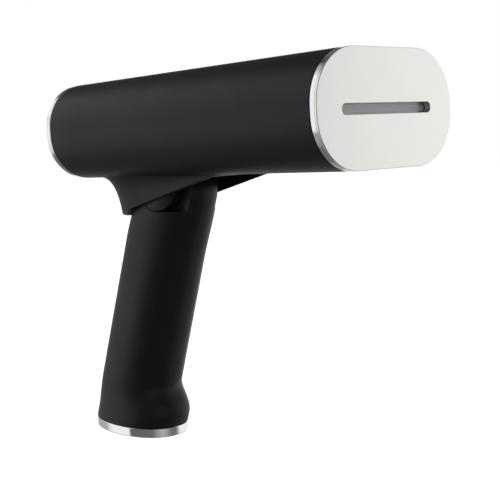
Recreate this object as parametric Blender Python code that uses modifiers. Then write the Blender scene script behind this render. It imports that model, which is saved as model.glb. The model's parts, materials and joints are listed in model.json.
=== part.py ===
"""A hand-held garment steamer: a flat round-sided barrel on a handle that folds forward.

Every number below is in millimetres, and the helpers turn it into metres.
The barrel is drawn in its own frame: y runs back from the steam plate, z up from the
barrel's middle line. The handle is drawn in a frame that leans with it: its origin is the
middle of the grip and z runs up along the handle. The origin of the whole is the grip.
"""
from math import cos, pi, radians, sin, sqrt, tan

import bmesh
import bpy
from mathutils import Matrix, Vector

MM = 0.001
GAP = 0.3
ROUND_STEPS = 7

# Barrel
BARREL_WIDTH = 79.0
BARREL_HEIGHT = 46.0
BARREL_CORNER = 21.3
BARREL_WALL = 2.2
FRONT_BAND = 3.3
SHELL_END = 177.7
REAR_END = 181.2
BORE_WIDTH = BARREL_WIDTH - 2 * BARREL_WALL
BORE_HEIGHT = BARREL_HEIGHT - 2 * BARREL_WALL
BORE_CORNER = BARREL_CORNER - BARREL_WALL
BELLY = -BARREL_HEIGHT / 2

# Steam plate and its slot
SLOT_WIDTH = 52.0
SLOT_HEIGHT = 4.2
SLOT_CORNER = 1.9
PLATE_FLANGE = 0.9
PLATE_EDGE = 0.35
PLATE_THICK = 2.6
TRIM_WALL = 1.2

# Fold pivot, seen from the barrel and from the grip
PIVOT_Y = 128.5
PIVOT_Z = -28.2
PIVOT_AHEAD = 3.69
PIVOT_UP = 72.11
LUG_RADIUS = 11.3
PIN_RADIUS = 2.5
BUSH_OUTER = 4.0
TONGUE_HALF = 8.3
LUG_INNER = 9.4
FORK_SCREW_REACH = 7.4
FORK_SCREWS = {"fork_screw_front": PIVOT_Y - FORK_SCREW_REACH, "fork_screw_rear": PIVOT_Y + FORK_SCREW_REACH}

# Skirt under the belly, round the top of the handle
SKIRT_HALF = 18.8
SKIRT_INNER = 17.0
SKIRT_FRONT = 82.0
SKIRT_REAR = 165.4
WELL_FRONT = 84.5
HEM_Y = 143.0
HEM_Z = -37.8
HEM_SLOPE = tan(radians(13.3))
FILLET_SPREAD = 8.0
WELL_ROOF = -6.6
ROOF_THICK = 1.6
BRIDGE_THICK = 1.9

# Handle
LEAN = radians(21.4)
HANDLE_HALF_WIDTH = 16.2
HANDLE_FRONT = -22.5
HANDLE_REAR = 21.6
FRONT_SWAY = 1.0
REAR_SWAY = 1.8
SWAY_START = 38.0
SWAY_END = 64.0
HANDLE_WALL = 2.2
HANDLE_POWER = 2.15
FOOT_WIDEN = 2.1
DOME_HEIGHT = 13.5
DOME_END = 0.97
BASE_TOP = -55.1
BASE_BOTTOM = -59.8
TOE_REACH = 11.2
TOE_START = -35.0
TOE_END = -54.5

# Steam button on the back of the handle
BUTTON_Z = 28.0
BUTTON_WIDTH = 11.0
BUTTON_LENGTH = 16.0
BUTTON_PROUD = 1.5
LENS_Z = 10.0
LENS_RADIUS = 2.0

# Boiler block
BOILER_FRONT = 12.5
BOILER_REAR = 50.0
BOILER_HALF = 29.0
BOILER_FLOOR = -12.0
BOILER_LID = 6.0
HEATER_RADIUS = 3.2
SCREW_RADIUS = 1.2

# Pump and its hoses
PUMP_X = -17.0
PUMP_Z = 8.0
PUMP_RADIUS = 8.5
PUMP_FRONT = 64.0
PUMP_REAR = 90.0
SPIGOT_RADIUS = 2.0
SPIGOT_LENGTH = 4.0
HOSE_RADIUS = 2.2

# Water tank, which slides out of the back
TANK_FRONT = 112.0
TANK_REAR = 174.0
TANK_WALL = 1.8
TANK_FLOOR = -3.0
TANK_TOP = 19.6
TANK_HALF = 35.7
TANK_SHOULDER = 17.5
VALVE_X = 6.0
VALVE_Z = 4.0
FLAP_Z = 4.0
FLAP_PIVOT_Y = 179.1
FLAP_PIVOT_Z = -6.6

# Mains inlet in the base
INLET_HALF_X = 8.6
INLET_HALF_Y = 5.8
INLET_TOP = -44.0
INLET_WALL = 1.4
BASE_MID_Y = 16.5
BASE_RING_WALL = 2.7

FINISHES = {
    "black_shell": ((0.022, 0.022, 0.023), 0.55, 0.0),
    "black_inner": ((0.03, 0.03, 0.032), 0.6, 0.0),
    "chrome": ((0.78, 0.78, 0.79), 0.08, 1.0),
    "satin_plate": ((0.80, 0.80, 0.79), 0.32, 1.0),
    "grey_screen": ((0.25, 0.24, 0.26), 0.5, 1.0),
    "cast_aluminium": ((0.55, 0.56, 0.57), 0.45, 1.0),
    "steel": ((0.62, 0.62, 0.63), 0.3, 1.0),
    "silicone": ((0.55, 0.20, 0.15), 0.5, 0.0),
    "smoke_tank": ((0.10, 0.10, 0.11), 0.15, 0.0),
    "brass": ((0.75, 0.57, 0.28), 0.3, 1.0),
    "green_board": ((0.03, 0.20, 0.09), 0.5, 0.0),
    "wire_sleeve": ((0.5, 0.06, 0.05), 0.5, 0.0),
    "white_plastic": ((0.75, 0.75, 0.72), 0.5, 0.0),
    "lens": ((0.85, 0.9, 0.95), 0.1, 0.0),
}


def clear_scene():
    for obj in list(bpy.data.objects):
        bpy.data.objects.remove(obj, do_unlink=True)


def make_collection(name):
    collection = bpy.data.collections.new(name)
    bpy.context.scene.collection.children.link(collection)
    return collection


def make_finish(name):
    colour, roughness, metallic = FINISHES[name]
    material = bpy.data.materials.new(name)
    material.use_nodes = True
    shader = material.node_tree.nodes["Principled BSDF"]
    shader.inputs["Base Color"].default_value = (*colour, 1.0)
    shader.inputs["Roughness"].default_value = roughness
    shader.inputs["Metallic"].default_value = metallic
    return material


clear_scene()
PARTS = make_collection("garment_steamer")
CUTTERS = make_collection("cutters")
MATERIALS = {name: make_finish(name) for name in FINISHES}


def make_frame(name, location, parent=None, lean=0.0):
    """An empty that holds a group of pieces; location is in millimetres."""
    frame = bpy.data.objects.new(name, None)
    frame.empty_display_size = 10 * MM
    frame.location = Vector(location) * MM
    frame.rotation_euler.x = lean
    frame.parent = parent
    PARTS.objects.link(frame)
    return frame


def add_piece(name, mesh, frame, finish):
    """Link a mesh as a sub-part, or as a cutter when it has no finish."""
    obj = bpy.data.objects.new(name, mesh)
    obj.parent = frame
    if finish:
        mesh.materials.append(MATERIALS[finish])
        PARTS.objects.link(obj)
    else:
        CUTTERS.objects.link(obj)
        obj.hide_render = True
        obj.display_type = "WIRE"
    return obj


def mesh_from(bm, name):
    """Turn a bmesh drawn in millimetres into a mesh in metres with welded corners."""
    bmesh.ops.scale(bm, vec=(MM, MM, MM), verts=bm.verts)
    bmesh.ops.remove_doubles(bm, verts=bm.verts, dist=0.00001)
    bmesh.ops.recalc_face_normals(bm, faces=bm.faces)
    mesh = bpy.data.meshes.new(name)
    bm.to_mesh(mesh)
    bm.free()
    mesh.shade_smooth()
    mesh.set_sharp_from_angle(angle=radians(35))
    return mesh


def box(name, low, high, frame, finish=None, bevel=0.0):
    low = Vector(low)
    size = Vector(high) - low
    bm = bmesh.new()
    place = Matrix.Translation(low + size / 2) @ Matrix.Diagonal((*size, 1))
    bmesh.ops.create_cube(bm, size=1.0, matrix=place)
    obj = add_piece(name, mesh_from(bm, name), frame, finish)
    if bevel:
        modifier = obj.modifiers.new("rounded_edges", "BEVEL")
        modifier.width = bevel * MM
        modifier.segments = 2
    return obj


AXIS_TURNS = {"X": Matrix.Rotation(pi / 2, 4, "Y"), "Y": Matrix.Rotation(-pi / 2, 4, "X"), "Z": Matrix()}


def cylinder(name, centre, radius, length, axis, frame, finish=None, steps=24):
    """A round bar whose middle is at centre."""
    bm = bmesh.new()
    turn = Matrix.Translation(centre) @ AXIS_TURNS[axis]
    bmesh.ops.create_cone(bm, cap_ends=True, segments=steps, radius1=radius, radius2=radius, depth=length,
                          matrix=turn)
    return add_piece(name, mesh_from(bm, name), frame, finish)


def turned(name, profile, centre, axis, frame, finish, steps=24):
    """A Screw-modifier body: profile lists (radius, height) from top to bottom."""
    mesh = bpy.data.meshes.new(name)
    points = [(radius * MM, 0.0, height * MM) for radius, height in profile]
    mesh.from_pydata(points, [(i, i + 1) for i in range(len(points) - 1)], [])
    obj = add_piece(name, mesh, frame, finish)
    obj.matrix_local = Matrix.Translation(Vector(centre) * MM) @ AXIS_TURNS[axis]
    screw = obj.modifiers.new("turn", "SCREW")
    screw.steps = steps
    screw.render_steps = steps
    screw.use_merge_vertices = True
    screw.merge_threshold = 0.00001
    return obj


def rounded_outline(low, high, corners, steps=ROUND_STEPS):
    """A rectangle with round corners, from the low-low corner round: one radius for each."""
    (u0, v0), (u1, v1) = low, high
    centres = (
        (u0 + corners[0], v0 + corners[0], pi),
        (u1 - corners[1], v0 + corners[1], 1.5 * pi),
        (u1 - corners[2], v1 - corners[2], 0.0),
        (u0 + corners[3], v1 - corners[3], 0.5 * pi),
    )
    points = []
    for (cu, cv, start), radius in zip(centres, corners):
        for step in range(steps + 1):
            angle = start + 0.5 * pi * step / steps
            points.append((cu + radius * cos(angle), cv + radius * sin(angle)))
    return points


def flat_oval(width, height, corner, middle=(0.0, 0.0), steps=ROUND_STEPS):
    low = (middle[0] - width / 2, middle[1] - height / 2)
    high = (middle[0] + width / 2, middle[1] + height / 2)
    return rounded_outline(low, high, (corner,) * 4, steps)


def circle_outline(radius, middle=(0.0, 0.0), steps=24):
    return [(middle[0] + radius * cos(2 * pi * i / steps), middle[1] + radius * sin(2 * pi * i / steps))
            for i in range(steps)]


# Each plane names the two axes of the outline; the columns say where they and the thickness go.
PLANES = {
    "XY": Matrix(((1, 0, 0), (0, 1, 0), (0, 0, 1))),
    "YZ": Matrix(((0, 0, 1), (1, 0, 0), (0, 1, 0))),
    "XZ": Matrix(((1, 0, 0), (0, 0, -1), (0, 1, 0))),
}


def slab(name, outlines, plane, start, end, frame, finish=None):
    """Flat outlines, the first one outside and the others holes, thickened from start to end."""
    curve = bpy.data.curves.new(name, "CURVE")
    curve.dimensions = "2D"
    curve.fill_mode = "BOTH"
    curve.extrude = abs(end - start) / 2
    for outline in outlines:
        spline = curve.splines.new("POLY")
        spline.points.add(len(outline) - 1)
        for point, (u, v) in zip(spline.points, outline):
            point.co = (u, v, 0.0, 1.0)
        spline.use_cyclic_u = True
    drawing = bpy.data.objects.new(name, curve)
    CUTTERS.objects.link(drawing)
    bpy.context.view_layer.update()
    filled = bpy.data.meshes.new_from_object(drawing.evaluated_get(bpy.context.evaluated_depsgraph_get()))
    bpy.data.objects.remove(drawing, do_unlink=True)
    bpy.data.curves.remove(curve)
    middle = (start + end) / 2
    offset = {"XY": (0, 0, middle), "YZ": (middle, 0, 0), "XZ": (0, middle, 0)}[plane]
    bm = bmesh.new()
    bm.from_mesh(filled)
    bpy.data.meshes.remove(filled)
    bmesh.ops.transform(bm, matrix=Matrix.Translation(offset) @ PLANES[plane].to_4x4(), verts=bm.verts)
    return add_piece(name, mesh_from(bm, name), frame, finish)


def loft(name, rings, frame, finish=None, hollow=False):
    """Skin a stack of rings: capped at both ends, or joined last to first when hollow."""
    bm = bmesh.new()
    rows = [[bm.verts.new(point) for point in ring] for ring in rings]
    count = len(rows[0])
    pairs = list(zip(rows, rows[1:]))
    if hollow:
        pairs.append((rows[-1], rows[0]))
    else:
        bm.faces.new(rows[0])
        bm.faces.new(rows[-1])
    for lower, upper in pairs:
        for i in range(count):
            j = (i + 1) % count
            bm.faces.new((lower[i], lower[j], upper[j], upper[i]))
    return add_piece(name, mesh_from(bm, name), frame, finish)


def smooth_route(points, steps=3):
    """A Catmull-Rom curve through the points, with its first and last stretch straight."""
    points = [Vector(point) for point in points]
    route = [points[0]]
    for a, b, c, d in zip(points, points[1:], points[2:], points[3:]):
        for step in range(steps):
            t = step / steps
            route.append(0.5 * (2 * b + (c - a) * t + (2 * a - 5 * b + 4 * c - d) * t**2
                                + (3 * b - a - 3 * c + d) * t**3))
    return route + points[-2:]


def round_bar(name, route, radius, frame, finish):
    """A bent wire, rod or hose with closed ends."""
    curve = bpy.data.curves.new(name, "CURVE")
    curve.dimensions = "3D"
    curve.bevel_depth = radius * MM
    curve.bevel_resolution = 2
    curve.use_fill_caps = True
    spline = curve.splines.new("POLY")
    spline.points.add(len(route) - 1)
    for point, place in zip(spline.points, route):
        point.co = (*(Vector(place) * MM), 1.0)
    curve.materials.append(MATERIALS[finish])
    obj = bpy.data.objects.new(name, curve)
    obj.parent = frame
    PARTS.objects.link(obj)
    return obj


def combine(obj, tool, operation="DIFFERENCE"):
    modifier = obj.modifiers.new(tool.name, "BOOLEAN")
    modifier.operation = operation
    modifier.object = tool
    modifier.solver = "EXACT"


LEAN_FRAME = make_frame("handle_axis", (0, 0, 0), lean=LEAN)
LEVEL_FRAME = make_frame("grip", (0, 0, 0))
PIVOT_PLACE = Matrix.Rotation(LEAN, 3, "X") @ Vector((0, -PIVOT_AHEAD, PIVOT_UP))
FOLD_AXIS = make_frame("fold_axis", PIVOT_PLACE)
HEAD = make_frame("barrel_axis", (0, -PIVOT_Y, -PIVOT_Z), parent=FOLD_AXIS)
FLAP_AXIS = make_frame("flap_axis", (0, FLAP_PIVOT_Y, FLAP_PIVOT_Z), parent=HEAD)


def signed_power(value, power):
    return abs(value) ** power * (1 if value >= 0 else -1)


# ---------------------------------------------------------------- barrel

def hem_height(y):
    """Height of the skirt's lower edge, which rises towards the front."""
    return HEM_Z - (y - HEM_Y) * HEM_SLOPE


def skirt_plan(half, front, rear, steps=24):
    """Plan of the skirt: square at the front, a long round end at the back."""
    reach = 26.0
    points = [(-half, front), (half, front)]
    for step in range(steps + 1):
        angle = pi * step / steps
        side = cos(angle)
        back = sin(angle)
        points.append((half * signed_power(side, 0.87), rear - reach + reach * back**0.87))
    return points


def skirt_rings(half, front, rear):
    """Rings from the hem up into the barrel, spreading as they near the belly."""
    plan = skirt_plan(half, front, rear)
    middle = Vector((0.0, (front + rear) / 2))
    rings = []
    for share in (0.0, 0.25, 0.5, 0.7, 0.85, 1.0):
        ring = []
        for x, y in plan:
            drop = BELLY - hem_height(y)
            spread = min(FILLET_SPREAD, 0.45 * max(drop, 0.0)) * (0.3 * share + 0.7 * share**3)
            outward = (Vector((x, y)) - middle)
            outward.x *= (rear - front) / (2 * half)
            outward.normalize()
            ring.append((x + outward.x * spread, y + outward.y * spread * (y > middle.y),
                         hem_height(y) + drop * share))
        rings.append(ring)
    rings.append([(x, y, BELLY + 2 * BARREL_WALL) for x, y, _ in rings[-1]])
    return rings


def barrel_shell():
    shell = slab("barrel_shell", [flat_oval(BARREL_WIDTH, BARREL_HEIGHT, BARREL_CORNER)], "XZ",
                 FRONT_BAND + GAP, SHELL_END, HEAD, "black_shell")
    skirt = loft("skirt_form", skirt_rings(SKIRT_HALF, SKIRT_FRONT, SKIRT_REAR), HEAD)
    bore = slab("barrel_bore", [flat_oval(BORE_WIDTH, BORE_HEIGHT, BORE_CORNER)], "XZ",
                FRONT_BAND - 1, SHELL_END + 1, HEAD)
    well = slab("well_cut", [skirt_plan(SKIRT_INNER, WELL_FRONT, SKIRT_REAR - 1.8)], "XY",
                HEM_Z - 20, BELLY + 2 * BARREL_WALL, HEAD)
    combine(shell, skirt, "UNION")
    combine(shell, bore)
    combine(shell, well)


def trim_ring(name, start, end, wall):
    outer = flat_oval(BARREL_WIDTH, BARREL_HEIGHT, BARREL_CORNER)
    inner = flat_oval(BARREL_WIDTH - 2 * wall, BARREL_HEIGHT - 2 * wall, BARREL_CORNER - wall)
    slab(name, [outer, inner], "XZ", start, end, HEAD, "chrome")


def plate_ring(inset, y):
    """The barrel's outline drawn in by inset, standing at y."""
    outline = flat_oval(BARREL_WIDTH - 2 * inset, BARREL_HEIGHT - 2 * inset, BARREL_CORNER - inset)
    return [(x, y, z) for x, z in outline]


def steam_plate():
    """A flange that covers the whole front, on a boss that fits inside the chrome band."""
    boss = TRIM_WALL + GAP
    rings = [plate_ring(PLATE_EDGE, 0), plate_ring(0, PLATE_EDGE), plate_ring(0, PLATE_FLANGE),
             plate_ring(boss, PLATE_FLANGE), plate_ring(boss, PLATE_THICK)]
    plate = loft("steam_plate", rings, HEAD, "satin_plate")
    slot = slab("slot_cut", [flat_oval(SLOT_WIDTH, SLOT_HEIGHT, SLOT_CORNER, steps=4)], "XZ",
                -1, PLATE_THICK + 1, HEAD)
    combine(plate, slot)


def diffuser_screen():
    pitch = 6.0
    holes = [circle_outline(1.4, (pitch * (i - 4), 0), steps=8) for i in range(9)]
    slab("diffuser_screen", [flat_oval(55, 7.6, 3, steps=4)] + holes, "XZ", 2.9, 3.7, HEAD, "grey_screen")


def plate_seal():
    rim = flat_oval(BORE_WIDTH - 0.8, BORE_HEIGHT - 0.8, BORE_CORNER - 0.4)
    hole = flat_oval(BORE_WIDTH - 5, BORE_HEIGHT - 5, BORE_CORNER - 2.5)
    slab("plate_seal", [rim, hole], "XZ", 3.6, 4.6, HEAD, "silicone")


def front_bulkhead():
    rim = flat_oval(BORE_WIDTH - 0.8, BORE_HEIGHT - 0.8, BORE_CORNER - 0.4)
    slab("front_bulkhead", [rim, flat_oval(59, 10.6, 4, steps=4)], "XZ", 4.9, 7.4, HEAD, "black_inner")


def steam_horn():
    """A flat funnel that spreads the boiler's steam over the whole slot."""
    mouth_y = 4.0
    throat_y = BOILER_FRONT - GAP
    wall = 1.2

    def ring(width, height, y):
        return [(u, y, v) for u, v in flat_oval(width, height, height / 2 - 0.2, steps=4)]

    loft("steam_horn", [
        ring(57, 9.2, mouth_y), ring(57, 9.2, 8.0), ring(24, 10.0, throat_y),
        ring(24 - 2 * wall, 10.0 - 2 * wall, throat_y), ring(57 - 2 * wall, 9.2 - 2 * wall, 8.0),
        ring(57 - 2 * wall, 9.2 - 2 * wall, mouth_y)], HEAD, "black_inner", hollow=True)


# ---------------------------------------------------------------- boiler

SCREW_PLACES = [(x, y) for x in (-26.6, 26.6) for y in (BOILER_FRONT + 2.6, BOILER_REAR - 2.6)]


def boiler():
    body = box("boiler_body", (-BOILER_HALF, BOILER_FRONT, BOILER_FLOOR),
               (BOILER_HALF, BOILER_REAR, BOILER_LID), HEAD, "cast_aluminium", bevel=0.8)
    chamber = box("chamber_cut", (-21, BOILER_FRONT + 6, BOILER_FLOOR + 5),
                  (21, BOILER_REAR - 6, BOILER_LID + 1), HEAD)
    outlet = cylinder("outlet_cut", (0, BOILER_FRONT + 2, 0), 3.4, 12, "Y", HEAD, steps=16)
    inlet = cylinder("inlet_cut", (-8, BOILER_REAR - 2, 0), 2.6, 12, "Y", HEAD, steps=16)
    for cutter in (chamber, outlet, inlet):
        combine(body, cutter)
    rim = rounded_outline((-24, BOILER_FRONT + 3.2), (24, BOILER_REAR - 3.2), (2,) * 4, 3)
    hole = rounded_outline((-21.4, BOILER_FRONT + 5.8), (21.4, BOILER_REAR - 5.8), (1,) * 4, 3)
    slab("boiler_gasket", [rim, hole], "XY", BOILER_LID + GAP, BOILER_LID + 1.3, HEAD, "silicone")
    cover = box("boiler_cover", (-BOILER_HALF, BOILER_FRONT, BOILER_LID + 1.6),
                (BOILER_HALF, BOILER_REAR, BOILER_LID + 5.2), HEAD, "cast_aluminium", bevel=0.8)
    for index, (x, y) in enumerate(SCREW_PLACES, 1):
        hole = cylinder(f"screw_cut_{index}", (x, y, BOILER_LID), SCREW_RADIUS + GAP, 16, "Z", HEAD, steps=12)
        combine(body, hole)
        combine(cover, hole)
        head_top = BOILER_LID + 7.4
        profile = [(0, head_top), (2.4, head_top), (2.4, head_top - 1.9), (SCREW_RADIUS, head_top - 1.9),
                   (SCREW_RADIUS, BOILER_LID - 6), (0, BOILER_LID - 6)]
        turned(f"boiler_screw_{index}", profile, (x, y, 0), "Z", HEAD, "steel", steps=12)


def heating_element():
    z = BOILER_FLOOR - GAP - HEATER_RADIUS
    arm = 15.0
    bend_y = 34.0
    bend = [(arm * cos(angle), bend_y - arm * sin(angle), z) for angle in [pi * i / 10 for i in range(11)]]
    round_bar("heating_element", [(arm, BOILER_REAR + 8, z)] + bend + [(-arm, BOILER_REAR + 8, z)],
              HEATER_RADIUS, HEAD, "steel")


def heat_shield():
    """A thin steel channel under and beside the boiler."""
    side = BOILER_HALF + 1.6
    floor = -19.9
    thick = 0.6
    rim = 2.0
    rise = 6.5
    run = 9.0
    half = [(side, rim), (side, floor + rise), (side - run, floor)]
    inner = [(side - run, floor + thick), (side - thick, floor + rise), (side - thick, rim)]
    outline = [(-x, z) for x, z in half] + half[::-1] + inner[::-1] + [(-x, z) for x, z in inner]
    slab("heat_shield", [outline], "XZ", BOILER_FRONT, BOILER_REAR, HEAD, "steel")


def boiler_safety():
    lid = BOILER_LID + 5.2 + GAP
    profile = [(0, 6.2), (4.6, 6.2), (4.6, 1.4), (6.6, 1.4), (6.6, 0), (0, 0)]
    turned("thermostat", profile, (10, 30, lid), "Z", HEAD, "white_plastic", steps=20)
    cylinder("thermal_fuse", (-10, 30, lid + 2.2), 2.2, 15, "Y", HEAD, "steel", steps=12)


# ---------------------------------------------------------------- water path

def pump():
    ahead = PUMP_REAR - PUMP_FRONT
    profile = [(0, ahead + SPIGOT_LENGTH), (SPIGOT_RADIUS, ahead + SPIGOT_LENGTH), (SPIGOT_RADIUS, ahead),
               (6.5, ahead), (PUMP_RADIUS, ahead - 3), (PUMP_RADIUS, 3), (6.5, 0), (SPIGOT_RADIUS, 0),
               (SPIGOT_RADIUS, -SPIGOT_LENGTH), (0, -SPIGOT_LENGTH)]
    turned("pump", profile, (PUMP_X, PUMP_FRONT, PUMP_Z), "Y", HEAD, "white_plastic", steps=20)
    for name, y in (("pump_mount_front", PUMP_FRONT + 5), ("pump_mount_rear", PUMP_REAR - 8)):
        block = flat_oval(21, 21, 4, (PUMP_X, PUMP_Z), steps=3)
        hole = circle_outline(PUMP_RADIUS + GAP, (PUMP_X, PUMP_Z), steps=20)
        slab(name, [block, hole], "XZ", y, y + 3, HEAD, "silicone")


def hoses():
    tip = SPIGOT_LENGTH + GAP
    rear = PUMP_REAR + tip
    round_bar("feed_hose", smooth_route([
        (PUMP_X, rear, PUMP_Z), (PUMP_X, rear + 3, PUMP_Z), (PUMP_X + 7, rear + 5.3, PUMP_Z - 1),
        (VALVE_X - 7, rear + 5.3, VALVE_Z + 1), (VALVE_X, rear + 7.4, VALVE_Z),
        (VALVE_X, rear + 10.3, VALVE_Z)]),
        HOSE_RADIUS, HEAD, "silicone")
    front = PUMP_FRONT - tip
    round_bar("delivery_hose", smooth_route([
        (PUMP_X, front, PUMP_Z), (PUMP_X, front - 2.4, PUMP_Z), (-13, front - 4.6, 4),
        (-8, BOILER_REAR + 2.5, 0), (-8, BOILER_REAR + GAP, 0)]), HOSE_RADIUS, HEAD, "silicone")
    turned("tank_coupling", [(0, 3.6), (3.2, 3.6), (4.4, 1.4), (4.4, 0), (0, 0)], (VALVE_X, 104.9, VALVE_Z),
           "Y", HEAD, "white_plastic", steps=16)


def tank_outline(inset=0.0):
    low = (-TANK_HALF + inset, TANK_FLOOR + inset)
    high = (TANK_HALF - inset, TANK_TOP - inset)
    return rounded_outline(low, high, (5 - inset, 5 - inset, TANK_SHOULDER - inset, TANK_SHOULDER - inset))


def water_tank():
    tank = slab("water_tank", [tank_outline()], "XZ", TANK_FRONT, TANK_REAR, HEAD, "smoke_tank")
    hollow = slab("tank_cut", [tank_outline(TANK_WALL)], "XZ", TANK_FRONT + TANK_WALL, TANK_REAR + 1, HEAD)
    hole = cylinder("valve_cut", (VALVE_X, TANK_FRONT, VALVE_Z), 2.6, 8, "Y", HEAD, steps=16)
    combine(tank, hollow)
    combine(tank, hole)
    turned("tank_valve", [(0, 7), (2.2, 7), (2.2, 1.4), (3.4, 1.4), (3.4, 0), (0, 0)],
           (VALVE_X, 110.3 - GAP, VALVE_Z), "Y", HEAD, "brass", steps=16)
    slab("tank_gasket", [tank_outline(0.2), tank_outline(TANK_WALL)], "XZ", TANK_REAR + GAP, TANK_REAR + 1.7,
         HEAD, "silicone")


def rear_cap():
    """The tank's back wall: a shallow recess holds the flap over the fill opening."""
    cap = slab("rear_cap", [flat_oval(BORE_WIDTH - 0.8, BORE_HEIGHT - 0.8, BORE_CORNER - 0.4)], "XZ",
               TANK_REAR + 2, REAR_END - 0.6, HEAD, "black_shell")
    recess = slab("flap_recess", [flat_oval(31, 22, 4, (0, FLAP_Z - 1.5), steps=4)], "XZ",
                  177.4, REAR_END + 1, HEAD)
    port = slab("fill_port", [flat_oval(25, 12, 4, (0, FLAP_Z), steps=4)], "XZ", TANK_REAR, REAR_END, HEAD)
    pin_hole = cylinder("flap_pin_cut", (0, FLAP_PIVOT_Y, FLAP_PIVOT_Z), 0.9, 35, "X", HEAD, steps=12)
    for cutter in (recess, port, pin_hole):
        combine(cap, cutter)
    cylinder("flap_pin", (0, 0, 0), 0.6, 34, "X", FLAP_AXIS, "steel", steps=12)


def fill_flap():
    """A door hinged along its lower edge, with a soft plug behind it."""
    rise = FLAP_Z - FLAP_PIVOT_Z
    lid = slab("fill_flap", [flat_oval(30, 17.4, 4, (0, rise), steps=4)], "XZ", -0.5, 1.4,
               FLAP_AXIS, "black_shell")
    knuckle = cylinder("flap_knuckle", (0, 0, 0), 1.4, 22, "X", FLAP_AXIS, steps=16)
    web = box("flap_web", (-11, -0.5, 0), (11, 1.0, 3.5), FLAP_AXIS)
    pin_hole = cylinder("knuckle_cut", (0, 0, 0), 0.7, 36, "X", FLAP_AXIS, steps=12)
    combine(lid, knuckle, "UNION")
    combine(lid, web, "UNION")
    combine(lid, pin_hole)
    slab("fill_plug", [flat_oval(21, 8, 3, (0, rise + 0.6), steps=4)], "XZ", -3.2, -0.8,
         FLAP_AXIS, "silicone")


# ---------------------------------------------------------------- hinge


def well_liner():
    """A tub over the belly opening, so that the folding handle meets no live part."""
    margin = 1.7
    liner = slab("well_liner", [skirt_plan(SKIRT_INNER + margin, WELL_FRONT - margin, SKIRT_REAR)], "XY",
                 BELLY + BARREL_WALL + GAP, WELL_ROOF + ROOF_THICK, HEAD, "black_inner")
    inside = slab("liner_cut", [skirt_plan(SKIRT_INNER, WELL_FRONT, SKIRT_REAR - margin)], "XY",
                  BELLY, WELL_ROOF, HEAD)
    combine(liner, inside)
    for name, y in FORK_SCREWS.items():
        hole = cylinder(f"{name}_cut", (0, y, WELL_ROOF), SCREW_RADIUS + GAP, 14, "Z", HEAD, steps=12)
        combine(liner, hole)


def lug_profile(radius, top):
    """A straight neck with a round end about the pivot, in the barrel's frame."""
    points = [(PIVOT_Y + radius, top), (PIVOT_Y - radius, top)]
    for step in range(25):
        angle = pi + pi * step / 24
        points.append((PIVOT_Y + radius * cos(angle), PIVOT_Z + radius * sin(angle)))
    return points


def hinge_fork():
    """Two lugs on a bridge under the well's roof; their faces follow the handle's sides."""
    top = WELL_ROOF - GAP
    bridge_low = top - BRIDGE_THICK
    fork = slab("hinge_fork", [lug_profile(LUG_RADIUS, top)], "YZ", -16.6, 16.6, HEAD, "black_shell")
    between = box("fork_cut", (-LUG_INNER, PIVOT_Y - 30, PIVOT_Z - 30),
                  (LUG_INNER, PIVOT_Y + 30, bridge_low), HEAD)
    sides = loft("lug_form", handle_rings(0.0, PIVOT_UP - 30, PIVOT_UP + 40), LEAN_FRAME)
    pin_hole = cylinder("lug_bore", (0, PIVOT_Y, PIVOT_Z), PIN_RADIUS + GAP, 40, "X", HEAD)
    combine(fork, sides, "INTERSECT")
    combine(fork, between)
    combine(fork, pin_hole)
    for name, y in FORK_SCREWS.items():
        hole = bpy.data.objects[f"{name}_cut"]
        combine(fork, hole)
        head = WELL_ROOF + ROOF_THICK + GAP
        profile = [(0, head + 1.2), (2.4, head + 1.2), (2.4, head), (SCREW_RADIUS, head),
                   (SCREW_RADIUS, bridge_low + 0.2), (0, bridge_low + 0.2)]
        turned(name, profile, (0, y, 0), "Z", HEAD, "steel", steps=12)
    cylinder("hinge_pin", (0, PIVOT_Y, PIVOT_Z), PIN_RADIUS, 26.0, "X", HEAD, "steel")


def pocket_cutters():
    """Room on each side of the handle for a lug to swing forward as the handle folds."""
    radius = LUG_RADIUS + 0.5
    reach = 60.0
    outline = []
    for step in range(13):
        angle = 1.5 * pi + 0.5 * pi * step / 12
        outline.append((PIVOT_Y + radius * cos(angle), PIVOT_Z + radius * sin(angle)))
    outline += [(PIVOT_Y + radius, PIVOT_Z + reach), (PIVOT_Y - reach, PIVOT_Z + reach),
                (PIVOT_Y - reach, PIVOT_Z - radius)]
    return [slab("pocket_left", [outline], "YZ", -40, -TONGUE_HALF, HEAD),
            slab("pocket_right", [outline], "YZ", TONGUE_HALF, 40, HEAD)]


# ---------------------------------------------------------------- handle

def blend(low, high, value):
    """0 below low, 1 above high and a smooth step between."""
    t = min(max((value - low) / (high - low), 0.0), 1.0)
    return t * t * (3 - 2 * t)


def handle_ring(z, inset, dome=True):
    """One section: a superellipse whose front and back are set apart from each other."""
    half = HANDLE_HALF_WIDTH - inset
    sway = blend(SWAY_START, SWAY_END, z)
    front = HANDLE_FRONT + inset - FRONT_SWAY * sway
    rear = HANDLE_REAR - inset - REAR_SWAY * sway
    front -= TOE_REACH * (1 - blend(TOE_END, TOE_START, z))
    half += FOOT_WIDEN * min((PIVOT_UP - z) / (PIVOT_UP - BASE_TOP), 1.0) * (z < PIVOT_UP)
    above = (z - PIVOT_UP) / (DOME_HEIGHT - inset)
    if dome and above > 0:
        shrink = sqrt(1 - above**2)
        front = -PIVOT_AHEAD + (front + PIVOT_AHEAD) * shrink
        rear = -PIVOT_AHEAD + (rear + PIVOT_AHEAD) * shrink
        half *= sqrt(1 - above**6)
    level = 1 - blend(-50, -10, z)
    ring = []
    steps = 32
    for i in range(steps):
        angle = 2 * pi * i / steps
        side = signed_power(cos(angle), 2 / HANDLE_POWER)
        fore = signed_power(sin(angle), 2 / HANDLE_POWER)
        y = (front + rear) / 2 + (rear - front) / 2 * fore
        ring.append((half * side, y, z - y * tan(LEAN) * level))
    return ring


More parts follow.
